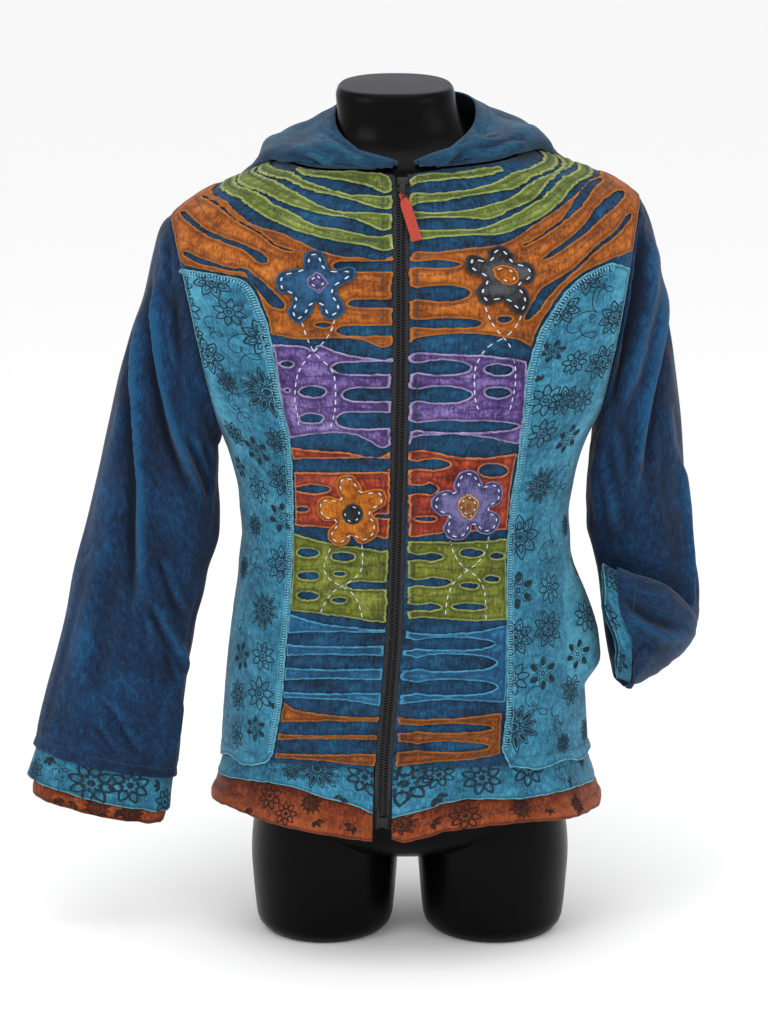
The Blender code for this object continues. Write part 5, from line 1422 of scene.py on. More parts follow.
def view_ring(row):
    """The ring of points between an outer and an inner point, from outer to front to inner."""
    outer_across, outer_down, inner_across, inner_down, half_depth, depth, front_turn = row
    outer = at_depth(outer_across, outer_down, depth)
    inner = at_depth(inner_across, inner_down, depth)
    major = (outer - inner) / 2
    forward = np.array((0.0, -1.0, 0.0))
    upward = np.cross(forward, major)
    upward /= np.linalg.norm(upward)
    tipped = math.radians(front_turn)
    minor = (forward * math.cos(tipped) + upward * math.sin(tipped)) * half_depth
    angles = around_tube()
    ring = np.outer(np.cos(angles), major) + np.outer(np.sin(angles), minor)
    return (outer + inner) / 2 + ring + SHIFT


def armhole_ring(side):
    """The sleeve's first ring, along the armhole's cut."""
    angles = around_tube()
    heights = (SHOULDER_TIP + ARMPIT[side]) / 2 + (SHOULDER_TIP - ARMPIT[side]) / 2 * np.cos(angles)
    turns = side * armhole_turn(side, heights)
    ring = on_body(np.where(np.sin(angles) >= 0, turns, 2 - turns), heights)
    along = ring[0] - ring[TUBE // 2]
    away = np.cross(along / np.linalg.norm(along), (0.0, 1.0, 0.0))
    away /= np.linalg.norm(away)
    return ring + away * math.copysign(SLEEVE_GAP, away[0] * side)


def through(rings, step):
    """Rings a step apart on smooth curves through the given ones."""
    rings = [np.asarray(ring, float) for ring in rings]
    padded = [2 * rings[0] - rings[1]] + rings + [2 * rings[-1] - rings[-2]]
    made = []
    for before, start, end, after in zip(padded, padded[1:], padded[2:], padded[3:]):
        count = max(int(round(np.linalg.norm(end - start, axis=1).mean() / step)), 1)
        made += [bent(before, start, end, after, part) for part in np.arange(count) / count]
    return np.array(made + [rings[-1]])


def normals_of(grid, closed, outward=1):
    """Unit normals of a grid of points; closed ones join round their second axis."""
    along = np.gradient(grid, axis=0)
    if closed:
        around = np.roll(grid, -1, axis=1) - np.roll(grid, 1, axis=1)
    else:
        around = np.gradient(grid, axis=1)
    found = np.cross(around, along) * outward
    return found / np.maximum(np.linalg.norm(found, axis=2, keepdims=True), 1e-12)


def facing_out(grid, closed):
    """Unit normals turned away from the grid's middle, and the way that they were turned."""
    plain = normals_of(grid, closed)
    away = (plain * (grid - grid.mean(axis=1, keepdims=True))).sum(axis=2)
    outward = 1 if (away > 0).mean() > 0.5 else -1
    return plain * outward, outward


def creased(points, facing, creases, strength=1.0):
    """How far the folds of the front view lift points that face it, in metres."""
    across, down = picture(points)
    seen = np.stack([across, down], axis=-1).reshape(-1, 2)
    total = np.zeros(len(seen))
    for line, height, width, beside_it in creases:
        line = np.array(line, float)
        lengths = np.concatenate([[0], np.cumsum(np.linalg.norm(np.diff(line, axis=0), axis=1))])
        nearest = np.full(len(seen), 1e9)
        aside, share = np.zeros(len(seen)), np.zeros(len(seen))
        for at in range(len(line) - 1):
            run = line[at + 1] - line[at]
            part = np.clip(((seen - line[at]) @ run) / (run @ run), 0, 1)
            offset = seen - line[at] - part[:, None] * run
            away = np.linalg.norm(offset, axis=1)
            closer = away < nearest
            sign = np.sign(run[1] * offset[:, 0] - run[0] * offset[:, 1])
            nearest = np.where(closer, away, nearest)
            aside = np.where(closer, sign * away, aside)
            gone = (lengths[at] + part * math.sqrt(run @ run)) / lengths[-1]
            share = np.where(closer, gone, share)
        fade = ease(share, 0.0, 0.22) * (1 - ease(share, 0.72, 1.0))
        fold = (np.exp(-(aside / width) ** 2)
                - 0.85 * np.exp(-((aside - beside_it) / (0.9 * width)) ** 2))
        total += strength * height / 1000 * fold * fade
    return (total * ease(facing.ravel(), 0.02, 0.35)).reshape(facing.shape)


class Skin:
    """A grid of points as a piece of cloth, with its own flat cut: round it and along it."""

    def __init__(self, grid, closed, outward=1):
        self.grid, self.closed = grid, closed
        self.normals = normals_of(grid, closed, outward)
        steps = np.linalg.norm(np.diff(grid, axis=0), axis=2).mean(axis=1)
        self.along = np.concatenate([[0], np.cumsum(steps)])
        following = np.roll(grid, -1, axis=1) if closed else grid[:, 1:]
        sides = np.linalg.norm(following - (grid if closed else grid[:, :-1]), axis=2)
        self.around = float(sides.sum(axis=1).mean())
        self.cell = self.around / (grid.shape[1] - (0 if closed else 1))
        self.outward = outward

    def lay(self, flat, lift):
        """Places on the skin from its flat cut."""
        rows, columns = self.grid.shape[:2]
        row = np.clip(np.interp(flat[:, 1], self.along, np.arange(rows)), 0, rows - 1.001)
        column = flat[:, 0] / self.cell
        column = column % columns if self.closed else np.clip(column, 0, columns - 1.001)
        low, left = row.astype(int), column.astype(int)
        right = (left + 1) % columns if self.closed else left + 1
        v, u = (row - low)[:, None], (column - left)[:, None]
        left = left % columns

        def mixed(values):
            return ((values[low, left] * (1 - u) + values[low, right] * u) * (1 - v)
                    + (values[low + 1, left] * (1 - u) + values[low + 1, right] * u) * v)

        return mixed(self.grid) + mixed(self.normals) * np.asarray(lift)[:, None]

    def find(self, across, down):
        """The flat place that the front view shows at (across, down)."""
        seen = np.stack(picture(self.grid), axis=-1)
        away = np.linalg.norm(seen - (across, down), axis=2) + 80 * (self.normals @ TOWARD < 0.05)
        row, column = np.unravel_index(np.argmin(away), away.shape)
        return np.array((column * self.cell, self.along[row]))

    def build(self, name, material, wall, worn=0.0, edge=None):
        """The mesh, with a seam in its cut where a tube closes."""
        rows, columns = self.grid.shape[:2]
        numbers = np.arange(rows * columns).reshape(rows, columns)
        after = np.roll(numbers, -1, axis=1) if self.closed else numbers[:, 1:]
        before = numbers if self.closed else numbers[:, :-1]
        faces = np.stack([before[:-1], after[:-1], after[1:], before[1:]], axis=-1).reshape(-1, 4)
        if self.outward < 0:
            faces = faces[:, ::-1]
        if edge is None:
            edge = np.broadcast_to((self.along[-1] - self.along)[:, None], (rows, columns))
        piece = make_mesh(name + "_cloth", self.grid.reshape(-1, 3), faces, material,
                          edge=np.ravel(edge), worn=np.broadcast_to(worn, (rows, columns)).ravel())
        layer = piece.data.uv_layers.new(name="cut")
        corners = np.empty(len(piece.data.loops), np.int32)
        piece.data.loops.foreach_get("vertex_index", corners)
        row, column = np.divmod(corners, columns)
        if self.closed:
            quad = column.reshape(-1, 4)
            wraps = (quad.max(axis=1) == columns - 1) & (quad.min(axis=1) == 0)
            column = np.where(np.repeat(wraps, 4) & (column == 0), columns, column)
        cut = np.stack([column * self.cell, self.along[row]], axis=1)
        layer.data.foreach_set("uv", cut.astype(np.float32).ravel())
        shell = piece.modifiers.new("wall", "SOLIDIFY")
        shell.thickness = wall
        shell.offset = -1
        piece["cut_size"] = [self.around, float(self.along[-1])]
        corner = self.grid.reshape(-1, 3)[faces]
        crossed = np.cross(corner[:, 2] - corner[:, 0], corner[:, 3] - corner[:, 1])
        piece["cut_area"] = float(np.linalg.norm(crossed, axis=1).sum() / 2)
        return piece


def no_lift(flat):
    """Right on the skin."""
    return np.zeros(len(flat))


def all_round(skin):
    """The clip for things laid on a skin: all of it, and past a tube's seam."""
    wide, tall = skin.around, float(skin.along[-1])
    low = -wide if skin.closed else 0.0
    high = 2 * wide if skin.closed else wide
    return [np.array(((low, 0.0), (high, 0.0), (high, tall), (low, tall)))]


def slant(skin):
    """The doubled-back sleeve's mouth gapes: its lower lobe is drawn toward the elbow."""
    down = picture(skin.grid)[1]
    from_rim = skin.along[-1] - skin.along[:, None]
    pull = ease(down, 604, 646) * (1 - ease(from_rim, 0.0, 0.060)) * (skin.grid[..., 1] < -0.01)
    skin.grid[..., 0] += 0.013 * pull


def ragged(skin, around, turns, seed, shares):
    """Let a raw end run up and down by 1.6 mm; the rows before it follow by their shares."""
    ring = np.stack([np.cos(around[0] * math.tau), np.sin(around[0] * math.tau)], axis=1)
    waves = wobble(ring * turns, (1, 1), seed)
    last = np.gradient(skin.grid, axis=0)[-1]
    last /= np.linalg.norm(last, axis=1, keepdims=True)
    for back, share in enumerate(shares):
        skin.grid[-1 - back] += last * (0.0016 * waves * share)[:, None]


runs = []
for name, (side, rows) in SLEEVES.items():
    grid = through([armhole_ring(side)] + [view_ring(row) for row in rows], 0.0042)
    plain, outward = facing_out(grid, True)
    along = np.linspace(0, 1, len(grid))[:, None]
    around = (np.arange(TUBE) / TUBE)[None]
    lift = np.zeros(grid.shape[:2])
    for fold_along, fold_turn, depth, length, width in FOLDS[name]:
        aside = np.abs((around - fold_turn + 0.5) % 1 - 0.5)
        lift += depth * np.exp(-((along - fold_along) / length) ** 2 - (aside / width) ** 2)
    lift += creased(grid, plain @ TOWARD, CREASES[name], 2.5)
    flat = np.stack(np.broadcast_arrays(around * GIRTH, along * REACH), axis=-1).reshape(-1, 2)
    turn = flat[:, 0] / GIRTH * math.tau
    bend = np.stack([np.cos(turn) * 0.057, np.sin(turn) * 0.057, flat[:, 1] * 0.45], axis=1)
    for height, scale, seed in ((0.0009, (0.020, 0.020, 0.024), 3.0),
                                (0.0024, (0.045, 0.045, 0.050), 7.0),
                                (0.0016, (0.012, 0.012, 0.055), 5.0)):
        lift += (height * wobble(bend, scale, side * seed)).reshape(lift.shape)
    end = 1 - ease(along, 0.965, 1.0)
    gathered = (0.0010 * np.sin(around * math.tau * 31 + 2 * np.sin(around * 19))
                * np.exp(-((along - 0.02) / 0.03) ** 2))
    seam_groove = 0.0012 * np.exp(-(along / 0.012) ** 2)
    lift = (lift + gathered) * ease(along, 0.0, 0.035) * (0.25 + 0.75 * end) - seam_groove
    skin = Skin(grid + plain * lift[..., None], True, outward)
    rim = float(skin.along[-1])
    from_rim = rim - skin.along[:, None]
    ragged(skin, around, 3, side, (1.0, 0.5))
    curl = (0.0010 * np.exp(-(from_rim / 0.0045) ** 2)
            - 0.0008 * np.exp(-((from_rim - 0.0105) / 0.0028) ** 2))
    skin.grid += skin.normals * (curl * np.ones_like(lift))[..., None]
    if side > 0:
        slant(skin)
    # the folds' lift also colours the sleeve: painted highlight on fold ridges, painted shade in fold
    # troughs and creases
    piece = skin.build(name, teal, 0.0015, worn=lift * 1000 / 5)
    dress(piece, name)
    hem = np.stack([np.linspace(0, skin.around, 120), np.full(120, rim - 0.0105)], axis=1)
    runs.append(threads([hem], no_lift, 0.0023, 0.0008, 0.00034, 0.0003, place=skin.lay))
sewing("sleeve_stitches", runs, navy_thread)


# Cuffs
# Two raw-edged bands sewn inside each sleeve's end: sky blue jersey with bold printed flowers, and
# a rust one inside it that shows below. The left sleeve's pair is tucked in the pocket.
CUFFS = {
    "cuff_print_right": ("blue", "sleeve_right", (26, 773, 172, 808, 0.040, -0.019, 0), 0.0026),
    "cuff_orange_right": ("rust", "sleeve_right", (31, 791, 166, 820, 0.038, -0.020, 0), 0.0044),
    "cuff_print_left": ("blue", "sleeve_left", (603, 562, 603, 679, 0.029, -0.037, 180), 0.0026),
    "cuff_orange_left": ("rust", "sleeve_left", (607, 566, 607, 674, 0.028, -0.037, 180), 0.0050),
}
CUFF_MARKS = {
    "cuff_print_right": """
        bold,92,784,21,0.1 bold,131,786,19,0.4 lotus,35,768,13,0.2 leaf,49,756,11,1.2
        curl,60,775,12,0.5 leaf,160,786,9,3 bold,164,803,14,0.2""",
    "cuff_orange_right": """
        leaf,58,797,9,1 rays,95,808,13,0.1 leaf,76,803,8,2.2 rays,133,815,12,0.4 leaf,115,812,8,0.4""",
    "cuff_print_left": """
        bold,590,566,14,0.1 bold,611,577,14,0.5 leaf,596,600,10,2 dark,613,662,13,0.2
        bold,606,615,12,0.3""",
    "cuff_orange_left": """
        leaf,608,600,8,0.4 rays,608,650,10,0.4""",
}
rust = jersey("printed_rust_jersey", "#431A0B", "#74381A", "#A05A33", rim="#9A4D29", paling=0.35)
bold_ink = ink_material("dark_ink_on_rust", "#2A130C", "#5A2A18")
PRINTED = {"blue": (printed_blue, dark_ink, "printed_blue_jersey"),
           "rust": (rust, bold_ink, "printed_rust_jersey")}


def repeated(skin, marks, kinds, spacing):
    """The same figures carried on round the side that the front view doesn't show."""
    found = []
    for at in range(int(skin.around / spacing)):
        place = np.array(((at + 0.5) * spacing, skin.along[-1] * (0.55 + 0.22 * math.sin(at * 2.4))))
        if all(abs((place[0] - mark[0] + skin.around / 2) % skin.around - skin.around / 2)
               > spacing * 0.8 for mark in marks):
            found.append(((kinds[at % len(kinds)], 0, 0, 12 + 3 * math.sin(at), at * 1.1), place))
    return found


def between(first, second, share):
    """A ring's row between two others."""
    return [a + (b - a) * share for a, b in zip(first, second)]


for name, (colour, sleeve, last_row, distance) in CUFFS.items():
    fabric, ink, slot = PRINTED[colour]
    before, end = SLEEVES[sleeve][1][-2:]
    rings = []
    for row, share in ((between(before, end, 0.7), 1.0), (end, 1.0), (between(end, last_row, 0.5), 0.9),
                       (last_row, 0.6)):
        ring = view_ring(row)
        inward = ring.mean(axis=0) - ring
        inward /= np.linalg.norm(inward, axis=1, keepdims=True)
        rings.append(ring + inward * distance * share * 1.05)
    grid = through(rings, 0.0028)
    plain, outward = facing_out(grid, True)
    along = np.linspace(0, 1, len(grid))[:, None]
    around = (np.arange(TUBE) / TUBE)[None]
    wave = np.sin(around * math.tau * 7 + 1.3) * 0.6 + np.sin(around * math.tau * 16) * 0.4
    lift = 0.0008 * wave * ease(along, 0.4, 1.0)
    if colour == "rust":             # its hem is rolled and gathered
        lift = (lift * 0.5 + 0.0014 * np.exp(-((along - 0.88) / 0.10) ** 2)
                - 0.0010 * np.exp(-((along - 0.66) / 0.06) ** 2))
        lift = lift + 0.0003 * np.sin(around * math.tau * 46) * ease(along, 0.7, 0.85)
    skin = Skin(grid + plain * lift[..., None], True, outward)
    ragged(skin, around, 4, distance, (1.0, 0.6, 0.25))
    if "left" in name:
        folds = creased(skin.grid, skin.normals @ TOWARD, CREASES["sleeve_left"][-2:])
        skin.grid += skin.normals * folds[..., None]
        slant(skin)
    # the cuff's waves and rolled hem colour it too: painted highlight where they stand out, painted shade
    # where they sink
    piece = skin.build(name, fabric, 0.0009, worn=lift * 600)
    dress(piece, name)
    marks = figures(CUFF_MARKS[name])
    centres = [skin.find(across, down) for _, across, down, *_ in marks]
    for mark, centre in repeated(skin, centres, ("bold", "leaf", "lotus"), 0.034):
        marks.append(mark)
        centres.append(centre)
    printed(name + "_print", marks, centres, no_lift, all_round(skin), ink, place=skin.lay)


# Hem bands
# Two bands of printed jersey sewn behind the hem, the blue one raw at its wavy lower edge, the rust
# one below it rolled up and gathered by a line of stitches.
BANDS = {
    # height of the top, lift of the outer face by height, then the lower edge in the front view
    "hem_band_print": ("blue", 0.224, ((0.162, 0.005), (0.176, 0.0015), (0.19, -0.0016)), """
        222,771 243,779 268,782 294,786 329,798 350,803 368,811 390,817 414,812 440,803 468,798 521,798
        548,793 570,787 592,774"""),
    "hem_band_orange": ("rust", 0.216, (
        (0.132, 0.011), (0.148, 0.0085), (0.16, 0.003), (0.178, -0.0034)), """
        218,790 235,804 267,818 300,826 334,833 366,839 376,838 390,835 404,840 441,829 480,824 521,820
        550,818 575,813 592,797"""),
}
BAND_MARKS = {
    "hem_band_print": """
        bold,247,752,17,0.1 curl,272,766,14,0.3 rays,318,768,26,0.2 bold,367,776,17,0.4
        leaf,345,797,10,2 lotus,290,772,11,0.2 bold,402,783,20,0.1 bold,441,776,14,0.5
        bold,483,778,20,0.3 bold,529,769,21,0.2 leaf,437,797,11,1 curl,560,772,13,0.9
        rays,580,756,14,0.1 leaf,572,782,9,3.4""",
    "hem_band_orange": """
        bold,269,795,16,0.3 rays,309,803,12,0.1 bold,286,815,13,0.6 leaf,317,819,9,0.9
        leaf,353,826,10,2.4 leaf,248,806,9,1.1 bold,466,815,15,0.2 rays,520,808,13,0.5
        leaf,549,808,8,1.7 rays,577,804,12,0.2 rays,400,824,13,0.3 leaf,433,822,9,0.5""",
}
BAND_EDGE = 0.0092       # from the zip's middle
runs = []
for name, (colour, top, profile, text) in BANDS.items():
    fabric, ink, slot = PRINTED[colour]
    start, stop = (turn_at(zip_x(0.17) + side * BAND_EDGE, 0.17) for side in (1, -1))
    turns = np.linspace(float(start), 4 + float(stop), 300)
    front = (turns + 1) % 4 - 1
    low_line = trace(lines_of(text)[0])
    low = np.interp(front, low_line[:, 0] / STRETCH, low_line[:, 1])
    ends = (low_line[0, 1] + low_line[-1, 1]) / 2 - 0.004
    behind = ease(np.minimum(front - 1, 3 - front), 0.0, 0.25)
    low = np.where(front > 1, ends + (low - ends) * (1 - behind), low)
    edgewise = np.stack([turns * STRETCH, turns * 0], axis=1)
    low = low + 0.0012 * wobble(edgewise, (0.010, 0.010), top)
    rolled = colour == "rust"
    share = np.concatenate([np.linspace(0, 0.55, 12), np.linspace(0.58, 1, 22)])[:, None]
    height = top + (low[None] - top) * share
    lift = np.interp(height, [row[0] for row in profile], [row[1] for row in profile])
    loose = ease(0.200 - height, 0.0, 0.05)
    lift = lift + loose * 0.0016 * np.sin(turns * 9 * math.pi / 2)
    lift = lift + loose * 0.0014 * wobble(edgewise + (0, 5), (0.022, 0.022), top)
    from_low = height - low[None]
    if rolled:
        bunch = wobble(edgewise, (0.0050, 0.0050), 4.0)
        lift = lift + 0.0020 * np.exp(-((from_low - 0.0055) / 0.0055) ** 2)
        lift = lift - 0.0016 * np.exp(-((from_low - 0.0130) / 0.0022) ** 2)
        lift = lift + 0.0011 * bunch * np.exp(-((from_low - 0.0095) / 0.0080) ** 2)
    else:
        lift = lift + 0.0007 * np.exp(-(from_low / 0.0025) ** 2)
    grid = on_body(np.broadcast_to(turns, height.shape).ravel(), height.ravel(), lift.ravel())
    grid = grid.reshape(*height.shape, 3)
    skin = Skin(grid, False, facing_out(grid, False)[1])
    # the band's lift colours it: painted highlight where it stands out and on its folds and roll, painted
    # shade where it sinks
    piece = skin.build(name, fabric, 0.0011, worn=lift * 90)
    dress(piece, name)
    marks = figures(BAND_MARKS[name])
    centres = [skin.find(across, down) for _, across, down, *_ in marks]
    for at in range(11):             # carried on round the back
        kind, size = (("bold", 17), ("curl", 13), ("rays", 16), ("leaf", 10))[at % 4]
        marks.append((kind, 0, 0, size, at * 0.9))
        centres.append(np.array((skin.around * (0.28 + 0.042 * at),
                                 skin.along[-1] * (0.70 + 0.10 * math.sin(at * 2)))))
    printed(name + "_print", marks, centres, no_lift, all_round(skin), ink, place=skin.lay)
    if rolled:
        line = np.stack([np.linspace(0.002, skin.around - 0.002, 300),
                         np.full(300, skin.along[-1] - 0.0128)], axis=1)
        runs.append(threads([line], no_lift, 0.0024, 0.0009, 0.00035, 0.0004, place=skin.lay))
sewing("hem_roll_stitches", runs, navy_thread)


# Hood
# Two halves of dark teal jersey with a seam down the middle, sewn to the neckline. It lies back on
# the shoulders in soft folds with its bag down the back; its face edge is turned in and stitched.
HOOD = (
    # turn of the seam, then x, y, z of the bag's inner edge, outer edge, crest and face edge
    (0.10, (0.013, -0.0745, 0.7830), (0.013, -0.0765, 0.7870),
     (0.011, -0.0720, 0.7905), (0.0075, -0.0660, 0.7885)),
    (0.35, (0.056, -0.0690, 0.7880), (0.057, -0.0730, 0.7950),
     (0.047, -0.0660, 0.8010), (0.0370, -0.0570, 0.7960)),
    (0.60, (0.090, -0.0590, 0.7900), (0.092, -0.0620, 0.7980),
     (0.079, -0.0520, 0.8090), (0.0540, -0.0440, 0.8060)),
    (0.80, (0.116, -0.0380, 0.7895), (0.120, -0.0400, 0.7990),
     (0.098, -0.0280, 0.8105), (0.0660, -0.0220, 0.8180)),
    (1.00, (0.136, -0.0020, 0.7860), (0.140, 0.0020, 0.7950),
     (0.111, 0.0050, 0.8110), (0.0690, 0.0100, 0.8310)),
    (1.25, (0.138, 0.0620, 0.7520), (0.149, 0.0740, 0.7660),
     (0.122, 0.0620, 0.8080), (0.0660, 0.0420, 0.8370)),
    (1.50, (0.112, 0.1130, 0.7000), (0.128, 0.1420, 0.7130),
     (0.105, 0.1140, 0.8000), (0.0530, 0.0640, 0.8410)),
    (1.75, (0.060, 0.1260, 0.6720), (0.068, 0.1620, 0.6820),
     (0.058, 0.1460, 0.7920), (0.0290, 0.0780, 0.8430)),
    (1.998, (0.0003, 0.1280, 0.6620), (0.0003, 0.1680, 0.6700),
     (0.0003, 0.1580, 0.7870), (0.0003, 0.0830, 0.8440)),
)
HOOD_CREASES = {
    -1: folds_of("""
        288,144 307,151.5 326.5,163 340,172 3.4,4,-6;
        318,132 326.5,142 342,151.5 357,159 384,174 3.6,4,6;
        336,118 330,128 334,138 346,146 2.6,4,6;
        264,152 276,146 290,139 306,137 2.4,3.6,5"""),
    1: folds_of("""
        462,136 456,150 446,162 430,172 3.4,4,6;
        533,146 514,144 495,151.5 478,160 3.2,4,-6;
        470,126 476,137 488,140 504,138 2.6,4,5;
        541,154 528,152 512,156 2,3.2,4"""),
}
hood_teal = jersey("teal_jersey_hood", "#12344F", "#1F506B", "#357189", paling=0.32)


def clear_of_body(points, distance):
    """Push points of the hood out until they are clear of the back and the shoulders."""
    height = level(points)
    half = read(BODY, 1, height)
    depth = np.where(points[:, 1] < 0, read(BODY, 2, height), read(BODY, 3, height))
    reach = ((np.abs(points[:, 0]) / half) ** ROUNDNESS
             + (np.abs(points[:, 1]) / depth) ** ROUNDNESS) ** (1 / ROUNDNESS)
    grow = np.maximum((1 + distance / np.minimum(half, depth)) / reach, 1.0)
    grow = np.where(height >= BODY[-1][0], 1.0, grow)
    return points * np.stack([grow, grow, np.ones_like(grow)], axis=1)


def hood_section(row, side):
    """Points from the neckline seam, down into the bag, back over it and up to the face edge."""
    turn = row[0]
    bag, outer, crest, face = (np.array((side * place[0], place[1], place[2] + 0.04 * side * place[0]))
                               for place in row[1:])
    seam = on_body(np.array([turn if side > 0 else 4 - turn]), neck_height(np.array([turn])),
                   np.array([0.0012]))[0] - SHIFT
    seam[2] += 0.0015
    section = [seam]
    for share, more in ((0.15, 0.002), (0.35, 0.004), (0.65, 0.003)):
        place = seam + (bag - seam) * share + (0, 0, 0.002)
        section.append(clear_of_body(place[None], 0.0045 + more)[0])
    section += [clear_of_body(bag[None], 0.0045)[0], clear_of_body(outer[None], 0.0065)[0]]
    section += [(outer + crest) / 2 + (outer - bag) * 0.35, crest, (crest + face) / 2 - (0, 0, 0.003), face]
    return np.array(section)


runs = []
for side in (-1, 1):
    name = "hood_right" if side < 0 else "hood_left"
    rows = through([hood_section(row, side) for row in HOOD], 0.0042)
    grid = through(rows.transpose(1, 0, 2), 0.0034).transpose(1, 0, 2) + SHIFT
    plain = normals_of(grid, False)
    outward = 1 if plain[:, int(grid.shape[1] * 0.72), 2].mean() > 0 else -1
    plain = plain * outward
    along = np.linspace(0, 1, grid.shape[0])[:, None]
    across = np.linspace(0, 1, grid.shape[1])[None]
    lift = creased(grid, plain @ TOWARD - 0.15, HOOD_CREASES[side])
    soft = wobble(grid.reshape(-1, 3), (0.026, 0.026, 0.018), side * 2.0)
    lift += (0.0022 * soft).reshape(lift.shape)
    lift += (0.0040 * np.sin(along * 19 + side) * np.exp(-((across - 0.62) / 0.14) ** 2)
             * ease(along, 0.10, 0.35))
    lift += (0.0030 * np.sin(along * 31 + side * 2) * np.exp(-((across - 0.85) / 0.10) ** 2)
             * ease(along, 0.30, 0.5))
    lift *= (ease(along, 0.0, 0.07) * ease(across, 0.04, 0.22) * (1 - 0.75 * ease(across, 0.93, 1.0))
             * (1 - ease(along, 0.94, 1.0)))
    lift -= 0.0010 * np.exp(-((1 - along) / 0.006) ** 2)
    skin = Skin(grid + plain * lift[..., None], False, outward)
    # the hood's folds colour it too: painted highlight on their ridges, painted shade in their troughs
    piece = skin.build(name, hood_teal, 0.0016, worn=lift * 150, edge=(1 - across + along * 0) * 0.3)
    dress(piece, name)
    tall, wide = float(skin.along[-1]), skin.around
    hem = np.stack([np.full(160, wide - 0.016), np.linspace(0.004, tall - 0.002, 160)], axis=1)
    joint = np.stack([np.linspace(0.01, wide, 160), np.full(160, tall - 0.0035)], axis=1)
    runs.append(threads([hem, joint], no_lift, 0.0024, 0.0009, 0.00034, 0.0003, place=skin.lay))
sewing("hood_stitches", runs, navy_thread)


# Display form
# A headless, armless torso moulded in one piece of glossy black plastic, with a flat-topped neck
# under a paler cap and two thigh stubs that it stands on.
FORM_LOW = (
    # height, half width, front depth, back depth
    (0.086, 0.100, 0.050, 0.058), (0.100, 0.132, 0.080, 0.084), (0.122, 0.149, 0.097, 0.099),
    (0.155, 0.159, 0.105, 0.104), (0.190, 0.163, 0.108, 0.105), (0.235, 0.162, 0.109, 0.103),
    (0.285, 0.159, 0.109, 0.100), (0.335, 0.154, 0.107, 0.095), (0.385, 0.149, 0.106, 0.089),
    (0.430, 0.148, 0.107, 0.088), (0.470, 0.153, 0.110, 0.092), (0.510, 0.165, 0.114, 0.099),
    (0.550, 0.182, 0.118, 0.106), (0.590, 0.198, 0.119, 0.112), (0.630, 0.214, 0.116, 0.116),
    (0.670, 0.229, 0.109, 0.117),
)
FORM_SHOULDERS = (0.705, 0.738, 0.757, 0.771, 0.783)
FORM_NECK = (
    # height, half width, front depth, back depth, slope of the ring toward the front
    (0.7920, 0.1030, 0.0545, 0.0680, 0.0), (0.8000, 0.0810, 0.0500, 0.0640, 0.0),
    (0.8090, 0.0680, 0.0465, 0.0625, 0.0), (0.8220, 0.0610, 0.0450, 0.0620, 0.0),
    (0.8370, 0.0585, 0.0450, 0.0625, 0.05), (0.8490, 0.0580, 0.0455, 0.0630, 0.11),
    (0.8540, 0.0565, 0.0440, 0.0615, 0.12), (0.8560, 0.0545, 0.0420, 0.0595, 0.12),
    (0.8567, 0.0500, 0.0375, 0.0550, 0.12),
)
THIGHS = ((-0.0815, 1.06), (0.0900, 1.09))     # middle, and how wide against the table
THIGH = (
    # height, half width, half depth
    (0.000, 0.054, 0.064), (0.002, 0.0585, 0.0685), (0.006, 0.0615, 0.072), (0.014, 0.0652, 0.0768),
    (0.050, 0.0685, 0.083), (0.090, 0.0700, 0.087), (0.150, 0.0640, 0.082),
)


def closed_body(name, rings):
    """A closed mesh object through rings, capped at both ends."""
    count = len(rings[0])
    numbers = np.arange(len(rings) * count).reshape(len(rings), count)
    after = np.roll(numbers, -1, axis=1)
    faces = np.stack([numbers[:-1], after[:-1], after[1:], numbers[1:]], axis=-1)
    faces = faces.reshape(-1, 4).tolist()
    faces += [numbers[0][::-1].tolist(), numbers[-1].tolist()]
    mesh = bpy.data.meshes.new(name)
    mesh.from_pydata([tuple(v) for v in np.asarray(rings).reshape(-1, 3)], [], faces)
    piece = bpy.data.objects.new(name, mesh)
    bpy.context.scene.collection.objects.link(piece)
    face_outward(mesh)
    return piece


def combined(piece, other, operation):
    """Cut or join a mesh with another one, which is used up."""
    bpy.ops.object.select_all(action="DESELECT")
    bpy.context.view_layer.objects.active = piece
    change = piece.modifiers.new("change", "BOOLEAN")
    change.operation = operation
    change.object = other
    bpy.ops.object.modifier_apply(modifier=change.name)
    bpy.data.objects.remove(other)


FORM_ROUND = 80          # points round the form
FORM_GAP = 0.0022        # between the shoulders and the jacket's surface
angles = np.arange(FORM_ROUND) * math.tau / FORM_ROUND


def form_section(half, front, back):
    """The x and y of a ring of the form."""
    return (half * power(np.sin(angles)),
            -np.where(np.cos(angles) > 0, front, back) * power(np.cos(angles)))


rings = []
for height, *sizes in FORM_LOW:
    x, y = form_section(*sizes)
    tilt = SHOULDER_TILT * x * ease(height, TILT_FROM, TILT_TO)
    rings.append(np.stack([x, y, height + tilt], axis=1))
for height in FORM_SHOULDERS:
    rings.append(on_body(angles / (math.pi / 2), height, -FORM_GAP) - SHIFT)
for height, *sizes, slope in FORM_NECK:
    x, y = form_section(*sizes)
    tilt = SHOULDER_TILT * x * (1 - ease(height, 0.79, 0.83))
    lean = 0.010 * float(ease(height, 0.79, 0.85))
    rings.append(np.stack([x - lean, y, height + slope * (y - 0.01) + tilt], axis=1))
form = closed_body("torso_form", through([ring + SHIFT for ring in rings], 0.007))
for middle, broad in THIGHS:
    rings = [np.stack([middle + half * broad * np.sin(angles), -deep * np.cos(angles),
                       np.full(FORM_ROUND, height)], axis=1) + SHIFT for height, half, deep in THIGH]
    combined(form, closed_body("thigh", through(rings, 0.005)), "UNION")
